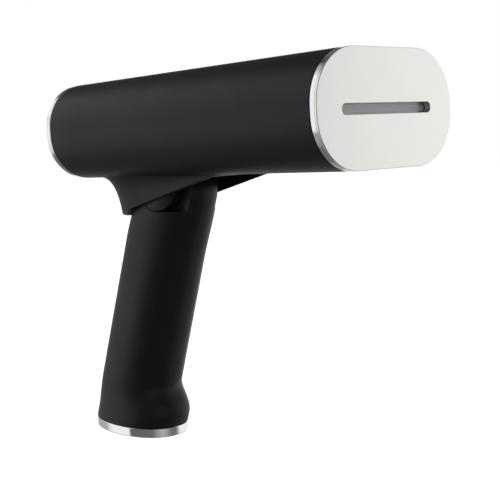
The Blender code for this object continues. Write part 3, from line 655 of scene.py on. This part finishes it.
def grow(name, tree, values, base=None):
    """Run a geometry tree on an object and keep what it makes as a plain mesh in millimetres."""
    mesh = base or bpy.data.meshes.new(name)
    obj = bpy.data.objects.new(name, mesh)
    bpy.context.scene.collection.objects.link(obj)
    step = obj.modifiers.new(name, "NODES")
    step.node_group = tree
    for item in tree.interface.items_tree:
        if item.in_out == "INPUT" and item.name in values:
            step[item.identifier] = values[item.name]
    return settle(obj)


def band_tree():
    """A rounded-rectangle hoop: a small rounded section swept round a flat oval path."""
    tree, given, end = tree_with("trim_band", [
        ("Width", "NodeSocketFloat", 79.0), ("Height", "NodeSocketFloat", 46.0),
        ("Corner", "NodeSocketFloat", 21.3), ("Wall", "NodeSocketFloat", 1.2),
        ("Depth", "NodeSocketFloat", 3.3), ("Lip", "NodeSocketFloat", 0.3),
        ("Start", "NodeSocketFloat", 0.0), ("Finish", "NodeSocketMaterial", None)])
    half_wall = maths(tree, "MULTIPLY", given["Wall"], 0.5)
    width = maths(tree, "SUBTRACT", given["Width"], given["Wall"])
    height = maths(tree, "SUBTRACT", given["Height"], given["Wall"])
    corner = maths(tree, "SUBTRACT", given["Corner"], half_wall)
    path = add(tree, "GeometryNodeCurvePrimitiveQuadrilateral", {"mode": "RECTANGLE"},
               {"Width": width, "Height": height})
    rounded = add(tree, "GeometryNodeFilletCurve", {"mode": "POLY"},
                  {"Curve": path.outputs[0], "Count": 40, "Radius": corner})
    upright = add(tree, "GeometryNodeSetCurveNormal", {"mode": "Z_UP"}, {"Curve": rounded.outputs[0]})
    section = add(tree, "GeometryNodeCurvePrimitiveQuadrilateral", {"mode": "RECTANGLE"},
                  {"Width": given["Wall"], "Height": given["Depth"]})
    lip = add(tree, "GeometryNodeFilletCurve", {"mode": "POLY"},
              {"Curve": section.outputs[0], "Count": 5, "Radius": given["Lip"]})
    swept = add(tree, "GeometryNodeCurveToMesh",
                inputs={"Curve": upright.outputs[0], "Profile Curve": lip.outputs[0]})
    half_depth = maths(tree, "MULTIPLY", given["Depth"], 0.5)
    middle = maths(tree, "ADD", given["Start"], half_depth)
    lift = add(tree, "ShaderNodeCombineXYZ", inputs={"Y": middle})
    turned = add(tree, "GeometryNodeTransform",
                 inputs={"Geometry": swept.outputs[0], "Translation": lift.outputs[0],
                         "Rotation": (pi / 2, 0.0, 0.0)})
    close_tree(tree, turned.outputs[0], given, end)
    return tree


BAND = band_tree()


def settle_place(obj, place):
    """Take a mesh drawn in millimetres to its place in metres, with its faces pointing out."""
    bm = bmesh.new()
    bm.from_mesh(obj.data)
    bmesh.ops.transform(bm, matrix=Matrix.Scale(MM, 4) @ place, verts=bm.verts)
    bmesh.ops.remove_doubles(bm, verts=bm.verts, dist=0.000002)
    bmesh.ops.recalc_face_normals(bm, faces=bm.faces)
    bm.to_mesh(obj.data)
    bm.free()
    return obj


def trim_ring(name, node, wall, start, end, lip, body):
    ring = grow(name, BAND, {
        "Width": BARREL_WIDTH, "Height": BARREL_HEIGHT, "Corner": BARREL_CORNER, "Wall": wall,
        "Depth": end - start, "Lip": lip, "Start": start, "Finish": FINISHES["chrome_trim"]})
    fit(settle_place(ring, BARREL), body, "chrome_trim", node, sharp=40)


# ------------------------------------------------------------- steam plate and screen

def front_plate():
    """The satin plate: a flange over the whole front, a boss behind it and a soft-edged slot."""
    boss = BAND_WALL + 0.15
    rim = 0.3
    sections = [(rim * (1 - sin(a)), rim * (1 - cos(a))) for a in [pi / 2 - pi * i / 8 for i in range(5)]]
    sections += [(PLATE_FLANGE, 0.0), (PLATE_FLANGE, boss), (PLATE_BACK, boss)]
    rings = [[(x, depth, z) for x, z in barrel_outline(inset)] for depth, inset in sections]
    plate = shape("front_plate", skin(rings), BARREL)
    soft = 0.22
    sections = ((-1.0, soft), (0.0, soft), (0.3 * soft, 0.3 * soft), (soft, 0.0), (PLATE_BACK + 1, 0.0))
    rings = []
    for depth, out in sections:
        outline = flat_oval(SLOT_WIDTH + 2 * out, SLOT_HEIGHT + 2 * out, SLOT_CORNER + out, steps=16)
        rings.append([(x, depth, z) for x, z in outline])
    combine(plate, shape("slot", skin(rings), BARREL))
    fit(plate, "barrel", "satin_plate", "steam_plate")


def screen_tree():
    """A perforated sheet: each cell of a grid is pierced, rounded and given thickness."""
    tree, given, end = tree_with("pierced_sheet", [
        ("Width", "NodeSocketFloat", 55.0), ("Height", "NodeSocketFloat", 7.6),
        ("Columns", "NodeSocketInt", 66), ("Rows", "NodeSocketInt", 9),
        ("Open", "NodeSocketFloat", 0.5), ("Thick", "NodeSocketFloat", 0.5),
        ("Start", "NodeSocketFloat", 2.9), ("Finish", "NodeSocketMaterial", None)])
    weld = 0.001
    grid = add(tree, "GeometryNodeMeshGrid", inputs={
        "Size X": given["Width"], "Size Y": given["Height"], "Vertices X": given["Columns"],
        "Vertices Y": given["Rows"]})
    pierced = add(tree, "GeometryNodeExtrudeMesh", {"mode": "FACES"},
                  {"Mesh": grid.outputs[0], "Offset Scale": 0.0, "Individual": True})
    shrunk = add(tree, "GeometryNodeScaleElements", {"domain": "FACE"}, {
        "Geometry": pierced.outputs["Mesh"], "Selection": pierced.outputs["Top"], "Scale": given["Open"]})
    opened = add(tree, "GeometryNodeDeleteGeometry", {"domain": "FACE"},
                 {"Geometry": shrunk.outputs[0], "Selection": pierced.outputs["Top"]})
    joined = add(tree, "GeometryNodeMergeByDistance",
                 inputs={"Geometry": opened.outputs[0], "Distance": weld})
    rounded = add(tree, "GeometryNodeSubdivisionSurface", inputs={"Mesh": joined.outputs[0], "Level": 1})
    raised = add(tree, "GeometryNodeExtrudeMesh", {"mode": "FACES"},
                 {"Mesh": rounded.outputs[0], "Offset Scale": given["Thick"], "Individual": False})
    back = add(tree, "GeometryNodeFlipFaces", inputs={"Mesh": rounded.outputs[0]})
    both = tree.nodes.new("GeometryNodeJoinGeometry")
    tree.links.new(raised.outputs["Mesh"], both.inputs[0])
    tree.links.new(back.outputs[0], both.inputs[0])
    sheet = add(tree, "GeometryNodeMergeByDistance",
                inputs={"Geometry": both.outputs[0], "Distance": weld})
    lift = add(tree, "ShaderNodeCombineXYZ", inputs={"Y": given["Start"]})
    turned = add(tree, "GeometryNodeTransform",
                 inputs={"Geometry": sheet.outputs[0], "Translation": lift.outputs[0],
                         "Rotation": (-pi / 2, 0.0, 0.0)})
    close_tree(tree, turned.outputs[0], given, end)
    return tree


def slot_screen():
    """The finely pierced grey sheet that is seen through the slot."""
    sheet = grow("slot_screen", screen_tree(), {
        "Width": SCREEN_WIDTH, "Height": SCREEN_HEIGHT, "Columns": round(SCREEN_WIDTH / SCREEN_PITCH) + 1,
        "Rows": round(SCREEN_HEIGHT / SCREEN_PITCH) + 1, "Open": 0.34, "Thick": 0.4,
        "Start": SCREEN_FRONT, "Finish": FINISHES["grey_screen"]})
    fit(settle_place(sheet, BARREL), "barrel", "grey_screen", "diffuser_screen")


# ------------------------------------------------------------- handle

def blend(low, high, value):
    """0 below low, 1 above high and a smooth step between."""
    t = min(max((value - low) / (high - low), 0.0), 1.0)
    return t * t * (3 - 2 * t)


def handle_ring(z, inset, steps=144):
    """One section: a superellipse whose front and back are set apart from each other."""
    half = HANDLE_HALF_WIDTH - inset
    sway = blend(SWAY_START, SWAY_END, z)
    front = HANDLE_FRONT + inset - FRONT_SWAY * sway
    rear = HANDLE_REAR - inset - REAR_SWAY * sway
    front -= TOE_REACH * (1 - blend(TOE_END, TOE_START, z))
    half += FOOT_WIDEN * min((PIVOT_UP - z) / (PIVOT_UP - BASE_TOP), 1.0) * (z < PIVOT_UP)
    above = (z - PIVOT_UP) / (DOME_HEIGHT - inset)
    if above > 0:
        shrink = sqrt(max(1 - above**2, 0.0))
        front = -PIVOT_AHEAD + (front + PIVOT_AHEAD) * shrink
        rear = -PIVOT_AHEAD + (rear + PIVOT_AHEAD) * shrink
        half *= sqrt(max(1 - above**6, 0.0))
    level = 1 - blend(-50, -10, z)
    ring = []
    for i in range(steps):
        angle = 2 * pi * i / steps
        side = signed_power(cos(angle), 2 / HANDLE_POWER)
        fore = signed_power(sin(angle), 2 / HANDLE_POWER)
        y = (front + rear) / 2 + (rear - front) / 2 * fore
        ring.append((half * side, y, z - y * tan(LEAN) * level))
    return ring


def handle_rings(inset, low, rim=0.0):
    """Sections from low over the domed top; rim rounds the lowest edge."""
    rings = []
    if rim:
        rings = [handle_ring(low + rim * (1 - cos(a)), inset + rim * (1 - sin(a)))
                 for a in (0.0, pi / 6, pi / 3)]
        low += rim
    count = int((PIVOT_UP - low) / RING_SPACING)
    rings += [handle_ring(low + (PIVOT_UP - low) * i / count, inset) for i in range(count)]
    for i in range(DOME_STEPS + 1):
        angle = 0.5 * pi * i / DOME_STEPS * DOME_CLOSED
        rings.append(handle_ring(PIVOT_UP + (DOME_HEIGHT - inset) * sin(angle), inset))
    return rings


def pocket_cutters():
    """Room on each side of the handle for a lug to swing forward as the handle folds."""
    radius = LUG_RADIUS + 0.5
    outline = [(PIVOT_Y + radius * cos(a), PIVOT_Z + radius * sin(a))
               for a in [1.5 * pi + 0.5 * pi * step / 40 for step in range(41)]]
    outline += [(PIVOT_Y + radius, PIVOT_Z + FAR), (PIVOT_Y - FAR, PIVOT_Z + FAR),
                (PIVOT_Y - FAR, PIVOT_Z - radius)]
    return [shape("pocket", prism(outline, low, high, "YZ"), BARREL)
            for low, high in ((-FAR, -TONGUE_HALF), (TONGUE_HALF, FAR))]


def wire_way():
    """The channel for the wires through the top of the handle."""
    return shape("wire_way", rod((0, WIRE_WAY_Y, PIVOT_UP), WIRE_WAY_RADIUS, 70, "Z", 32), GRIP)


def button_outline(margin, steps=12):
    return flat_oval(BUTTON_WIDTH + 2 * margin, BUTTON_LENGTH + 2 * margin, BUTTON_CORNER + margin,
                     (0, BUTTON_Z), steps)


def handle_body():
    """The hollow grip, with a chamfered hole for the button and a round one for the light window."""
    low = BASE_TOP / cos(LEAN)
    shell = shape("handle_body", skin(handle_rings(0.0, low, 0.35)), GRIP)
    inner_rings = [handle_ring(low - 3, HANDLE_WALL)] + handle_rings(HANDLE_WALL, low)
    combine(shell, shape("hollow", skin(inner_rings), GRIP))
    sections = ((10, 0.0), (HANDLE_REAR - 0.7, 0.0), (HANDLE_REAR + 1.5, 1.1))
    hole = skin([[(u, depth, v) for u, v in button_outline(BUTTON_GAP + out)] for depth, out in sections])
    button_hole = shape("button_hole", hole, GRIP)
    lens_hole = shape("lens_hole", rod((0, HANDLE_REAR, LENS_Z), LENS_HOLE, 12, "Y", 40), GRIP)
    for cutter in pocket_cutters() + [wire_way(), button_hole, lens_hole]:
        combine(shell, cutter)
    fit(shell, "handle", "black_shell", "handle_shell", sharp=28)


def hinge_tongue():
    """The solid tongue in the handle's top, bored for the bushes."""
    tongue = shape("hinge_tongue", skin(handle_rings(HANDLE_WALL + 0.03, TONGUE_LOW)), GRIP)
    bore = shape("bush_bore", rod((0, PIVOT_Y, PIVOT_Z), BUSH_RADIUS, 40, "X"), BARREL)
    for cutter in pocket_cutters() + [wire_way(), bore]:
        combine(tongue, cutter)
    fit(tongue, "handle", "black_inner", "hinge_knuckle")


def hinge_lugs():
    """Two lugs on a bridge; each is a straight neck with a round end that lies flush in the handle."""
    top = WELL_ROOF - 0.3
    bridge_low = top - BRIDGE_THICK
    outline = [(PIVOT_Y + LUG_RADIUS, top), (PIVOT_Y - LUG_RADIUS, top)]
    outline += [(PIVOT_Y + LUG_RADIUS * cos(a), PIVOT_Z + LUG_RADIUS * sin(a))
                for a in [pi + pi * step / 72 for step in range(73)]]
    fork = shape("hinge_lugs", prism(outline, -17, 17, "YZ"), BARREL)
    last = handle_ring(PIVOT_UP - 0.01, 0.0)
    side_rings = handle_rings(0.0, PIVOT_UP - 30)[:-DOME_STEPS - 1]
    side_rings += [last, [(x, y, z + 40) for x, y, z in last]]
    between = box_block((-LUG_INNER, PIVOT_Y - 30, PIVOT_Z - 30), (LUG_INNER, PIVOT_Y + 30, bridge_low))
    bore = rod((0, PIVOT_Y, PIVOT_Z), PIN_RADIUS + 0.1, 40, "X")
    combine(fork, shape("sides", skin(side_rings), GRIP), "INTERSECT")
    combine(fork, shape("between", between, BARREL))
    combine(fork, shape("pin_bore", bore, BARREL))
    soften(fork, 0.25, 2, 40)
    fit(fork, "barrel", "black_shell", "hinge_fork")


def ridge_tree():
    """A row of straight rounded bars, side by side."""
    tree, given, end = tree_with("grip_ridges", [
        ("Count", "NodeSocketInt", 5), ("Pitch", "NodeSocketFloat", 1.6),
        ("Length", "NodeSocketFloat", 6.0), ("Radius", "NodeSocketFloat", 0.35),
        ("Finish", "NodeSocketMaterial", None)])
    spaces = maths(tree, "SUBTRACT", given["Count"], 1.0)
    span = maths(tree, "MULTIPLY", spaces, given["Pitch"])
    below = maths(tree, "MULTIPLY", span, -0.5)
    first = add(tree, "ShaderNodeCombineXYZ", inputs={"Z": below})
    apart = add(tree, "ShaderNodeCombineXYZ", inputs={"Z": given["Pitch"]})
    row = add(tree, "GeometryNodeMeshLine", inputs={
        "Count": given["Count"], "Start Location": first.outputs[0], "Offset": apart.outputs[0]})
    half = maths(tree, "MULTIPLY", given["Length"], 0.5)
    stretch = maths(tree, "DIVIDE", half, given["Radius"])
    long_way = add(tree, "ShaderNodeCombineXYZ", inputs={"X": stretch, "Y": 1.0, "Z": 1.0})
    bead = add(tree, "GeometryNodeMeshUVSphere",
               inputs={"Segments": 32, "Rings": 16, "Radius": given["Radius"]})
    bars = add(tree, "GeometryNodeInstanceOnPoints", inputs={
        "Points": row.outputs[0], "Instance": bead.outputs[0], "Scale": long_way.outputs[0]})
    close_tree(tree, bars.outputs[0], given, end)
    return tree


RIDGES = ridge_tree()


def add_ridges(obj, place, finish, **values):
    """Raise a row of grip ridges on a piece."""
    bars = grow(f"{obj.name}_ridges", RIDGES, {**values, "Finish": FINISHES[finish]})
    return combine(obj, settle_place(bars, place), "UNION")


def thumb_button():
    """The steam button: a soft oval pad with a shallow dish and five fine grip ridges."""
    rings = []
    for depth, out in edge_steps(FLANGE_FRONT, FLANGE_REAR, 0.3):
        rings.append([(u, depth, v) for u, v in button_outline(0.9 - out)])
    top = HANDLE_REAR + BUTTON_PROUD
    edge = 0.7
    edge_count = 6
    for depth, inset in edge_steps(FLANGE_REAR, top, edge, edge_count)[edge_count + 1:]:
        rings.append([(u, depth, v) for u, v in button_outline(-inset)])
    for share, dish in ((0.75, 0.08), (0.5, 0.2), (0.25, 0.28), (0.05, 0.3)):
        rings.append([(u * share, top - dish, BUTTON_Z + (v - BUTTON_Z) * share)
                      for u, v in button_outline(-edge)])
    pad = shape("thumb_button", skin(rings), GRIP)
    add_ridges(pad, GRIP @ Matrix.Translation((0, top - 0.25, BUTTON_Z)), "black_shell",
               Count=5, Pitch=1.7, Length=7.0, Radius=0.4)
    fit(pad, "button", "black_shell", "steam_button")


def base_outline(inset):
    """The handle's level section at its foot, drawn in by inset."""
    foot = handle_ring(BASE_TOP / cos(LEAN), inset)
    return [(x, y / cos(LEAN) - BASE_TOP * tan(LEAN)) for x, y, _ in foot]


def base_trim():
    """The bright ring under the handle: a rounded section that follows the foot's outline."""
    low, high, lip = BASE_LOW.z, BASE_TOP - 0.12, 0.45
    corners = ((lip, high - lip, 0.5 * pi), (lip, low + lip, pi),
               (BASE_RING_WALL - lip, low + lip, 1.5 * pi), (BASE_RING_WALL - lip, high - lip, 2 * pi))
    rings = []
    for inset, height, start in corners:
        for step in range(6):
            angle = start + 0.5 * pi * step / 5
            outline = base_outline(inset + lip * cos(angle))
            rings.append([(x, y, height + lip * sin(angle)) for x, y in outline])
    ring = shape("base_trim", skin(rings, closed_loop=True))
    fit(ring, "handle", "chrome_trim", "base_ring", sharp=40)


# ------------------------------------------------------------- simple pieces kept from the frame's shapes

def welded(node, name):
    """A welded copy of a frame node with its flat faces made whole, ready for fine edges."""
    bm = bmesh.new()
    bm.from_mesh(frame["nodes"][node].data)
    bmesh.ops.remove_doubles(bm, verts=bm.verts, dist=0.000005)
    bmesh.ops.dissolve_limit(bm, angle_limit=radians(0.5), verts=bm.verts, edges=bm.edges)
    mesh = bpy.data.meshes.new(name)
    bm.to_mesh(mesh)
    bm.free()
    obj = bpy.data.objects.new(name, mesh)
    bpy.context.scene.collection.objects.link(obj)
    return obj


EDGE_WIDTHS = {
    "boiler_body": 0.3, "boiler_cover": 0.3, "front_bulkhead": 0.3, "plate_seal": 0.15,
    "boiler_gasket": 0.15, "heat_shield": 0.1, "pump_mount_front": 0.4, "pump_mount_rear": 0.4,
    "tank_gasket": 0.3, "well_liner": 0.3,
    "board_carrier": 0.2, "relay": 0.3, "micro_switch": 0.2, "base_cap": 0.25, "power_inlet": 0.25,
    "rear_cap": 0.25, "fill_flap": 0.35, "fill_plug": 0.5, "water_tank": 0.5, "control_board": 0.08,
    "tank_valve": 0.2, "tank_coupling": 0.2, "thermostat": 0.3, "thermal_fuse": 0.2, "pump": 0.3,
    "hinge_pin": 0.25, "flap_pin": 0.1, "inlet_pin_left": 0.3, "inlet_pin_right": 0.3,
    "fork_screw_front": 0.15, "fork_screw_rear": 0.15, "hinge_bush_left": 0.15, "hinge_bush_right": 0.15,
    "friction_washer_left": 0.1, "friction_washer_right": 0.1, "indicator_lens": 0.4,
}
EDGE_WIDTHS.update({f"boiler_screw_{i}": 0.15 for i in range(1, 5)})
UNBEVELLED = ("steam_horn", "heating_element", "feed_hose", "delivery_hose", "live_wire", "neutral_wire")


def plain_pieces():
    """Every other piece: the frame's own shape with fine rounded edges and smooth shading."""
    listed = frame["record"]["behaviour"]["bodies"]
    bodies = {name: body for body, names in listed.items() for name in names}
    for node, width in EDGE_WIDTHS.items():
        piece = soften(welded(node, f"{node}_fine"), width, 2, 40)
        if node == "fill_flap":
            high = node_box(node)[1]
            add_ridges(piece, Matrix.Translation((0, high.y - 0.12, high.z - 3.0)), SLOT_OF[node],
                       Count=3, Pitch=1.5, Length=13.0, Radius=0.35)
        fit(piece, bodies[node], SLOT_OF[node], node, sharp=45)
    for node in UNBEVELLED:
        fit(welded(node, f"{node}_fine"), bodies[node], SLOT_OF[node], node, sharp=50)


# ------------------------------------------------------------- stage, light and camera

def floor():
    """A pale floor that is clear from below and left out of reflections."""
    drop = 0.12
    half_size = 6.0
    low = CAD_BOX[0].z - drop
    bm = bmesh.new()
    bmesh.ops.create_grid(bm, x_segments=1, y_segments=1, size=half_size,
                          matrix=Matrix.Translation((0, 0, low)))
    mesh = bpy.data.meshes.new("pale_floor")
    bm.to_mesh(mesh)
    bm.free()
    obj = bpy.data.objects.new("pale_floor", mesh)
    bpy.context.scene.collection.objects.link(obj)
    material, tree, shader = surface("pale_studio_floor", "#e6e6e6", 0.9)
    shader.inputs["Emission Color"].default_value = (1.0, 1.0, 1.0, 1.0)
    shader.inputs["Emission Strength"].default_value = 0.9
    side = add(tree, "ShaderNodeNewGeometry")
    clear = add(tree, "ShaderNodeBsdfTransparent")
    mixed = add(tree, "ShaderNodeMixShader",
                inputs={0: side.outputs["Backfacing"], 1: shader.outputs[0], 2: clear.outputs[0]})
    tree.links.new(mixed.outputs[0], tree.nodes["Material Output"].inputs["Surface"])
    obj.visible_glossy = False
    obj.visible_diffuse = False
    mesh.materials.append(material)


def ramp(tree, value, stops):
    """A colour ramp of greys: stops are (place from 0 to 1, brightness)."""
    made = add(tree, "ShaderNodeValToRGB", inputs={"Fac": value})
    elements = made.color_ramp.elements
    while len(elements) < len(stops):
        elements.new(0.5)
    for element, (place, grey) in zip(elements, stops):
        element.position = place
        element.color = (grey, grey, grey, 1.0)
    return made.outputs[0]


def studio_light():
    """A white studio: a wide bright wall behind, a dim side towards the viewer, dark above.

    Directions are in degrees: round from +Y towards +X, and up from level.
    """
    world = bpy.data.worlds.new("studio")
    bpy.context.scene.world = world
    world.use_nodes = True
    tree = world.node_tree
    tree.nodes.clear()
    place = add(tree, "ShaderNodeTexCoord")
    axes = add(tree, "ShaderNodeSeparateXYZ", inputs={0: place.outputs["Generated"]})
    turn = maths(tree, "ARCTAN2", axes.outputs["X"], axes.outputs["Y"])
    round_share = maths(tree, "MULTIPLY_ADD", turn, 0.5 / pi, 0.5)
    lift = maths(tree, "ARCSINE", axes.outputs["Z"])
    up_share = maths(tree, "MULTIPLY_ADD", lift, 1 / pi, 0.5)

    def turned(angle):
        return (angle + 180) / 360

    def raised(angle):
        return (angle + 90) / 180

    wall = ramp(tree, round_share, [
        (turned(-180), 0.24), (turned(-165), 0.38), (turned(-148), 0.46), (turned(-132), 0.34),
        (turned(-115), 0.16), (turned(-80), 0.14), (turned(-64), 0.14), (turned(-60), 1.0),
        (turned(125), 1.0), (turned(134), 0.92), (turned(143), 0.36), (turned(152), 0.17),
        (turned(168), 0.17), (turned(180), 0.24)])
    soft_patch = ramp(tree, round_share, [
        (turned(-32), 1.0), (turned(-20), 0.45), (turned(18), 0.45), (turned(30), 1.0)])
    above_patch = ramp(tree, up_share, [(raised(8), 0.0), (raised(20), 1.0)])
    height = ramp(tree, up_share, [
        (raised(-90), 0.32), (raised(-26), 0.36), (raised(-20), 1.0), (raised(40), 1.0), (raised(50), 0.12),
        (raised(65), 0.1), (raised(90), 0.45)])
    right_half = ramp(tree, round_share, [
        (turned(-4), 1.0), (turned(8), 0.14), (turned(95), 0.14), (turned(110), 1.0)])
    low_half = ramp(tree, up_share, [
        (raised(13), 1.0), (raised(19), 0.0), (raised(60), 0.0), (raised(70), 1.0)])
    open_side = maths(tree, "MAXIMUM", right_half, low_half)
    patch = maths(tree, "MAXIMUM", soft_patch, above_patch)
    side = maths(tree, "MULTIPLY", wall, patch)
    zones = maths(tree, "MULTIPLY", side, height)
    lit = maths(tree, "MULTIPLY", zones, open_side)
    seen = add(tree, "ShaderNodeLightPath")
    backdrop = maths(tree, "MAXIMUM", lit, seen.outputs["Is Camera Ray"])
    light = add(tree, "ShaderNodeBackground", inputs={"Color": backdrop, "Strength": 1.0})
    add(tree, "ShaderNodeOutputWorld", inputs={"Surface": light.outputs[0]})
    bpy.context.scene.view_settings.view_transform = "Standard"


def camera():
    """Seen from the front left and slightly above, with a small roll."""
    turn_right = radians(42.34)
    look_down = radians(6.07)
    roll = radians(-3.21)
    place = Vector((-0.29743, -0.40234, 0.08323))
    ahead = cos(look_down)
    forward = Vector((sin(turn_right) * ahead, cos(turn_right) * ahead, -sin(look_down)))
    level_right = forward.cross(Vector((0, 0, 1))).normalized()
    level_up = level_right.cross(forward)
    right = level_right * cos(roll) + level_up * sin(roll)
    up = level_up * cos(roll) - level_right * sin(roll)
    data = bpy.data.cameras.new("camera")
    data.lens = 71.516
    data.sensor_width = 36.0
    data.clip_start = 0.01
    obj = bpy.data.objects.new("camera", data)
    obj.matrix_world = Matrix.Translation(place) @ Matrix((right, up, -forward)).transposed().to_4x4()
    bpy.context.scene.collection.objects.link(obj)
    bpy.context.scene.camera = obj


barrel_body()
trim_ring("front_trim", "front_ring", BAND_WALL, BAND_START - 0.2, BAND_END, 0.15, "barrel")
trim_ring("rear_trim", "rear_ring", REAR_WALL, REAR_START - 0.15, REAR_END, 0.35, "tank")
front_plate()
slot_screen()
handle_body()
hinge_tongue()
hinge_lugs()
thumb_button()
base_trim()
plain_pieces()
floor()
studio_light()
camera()
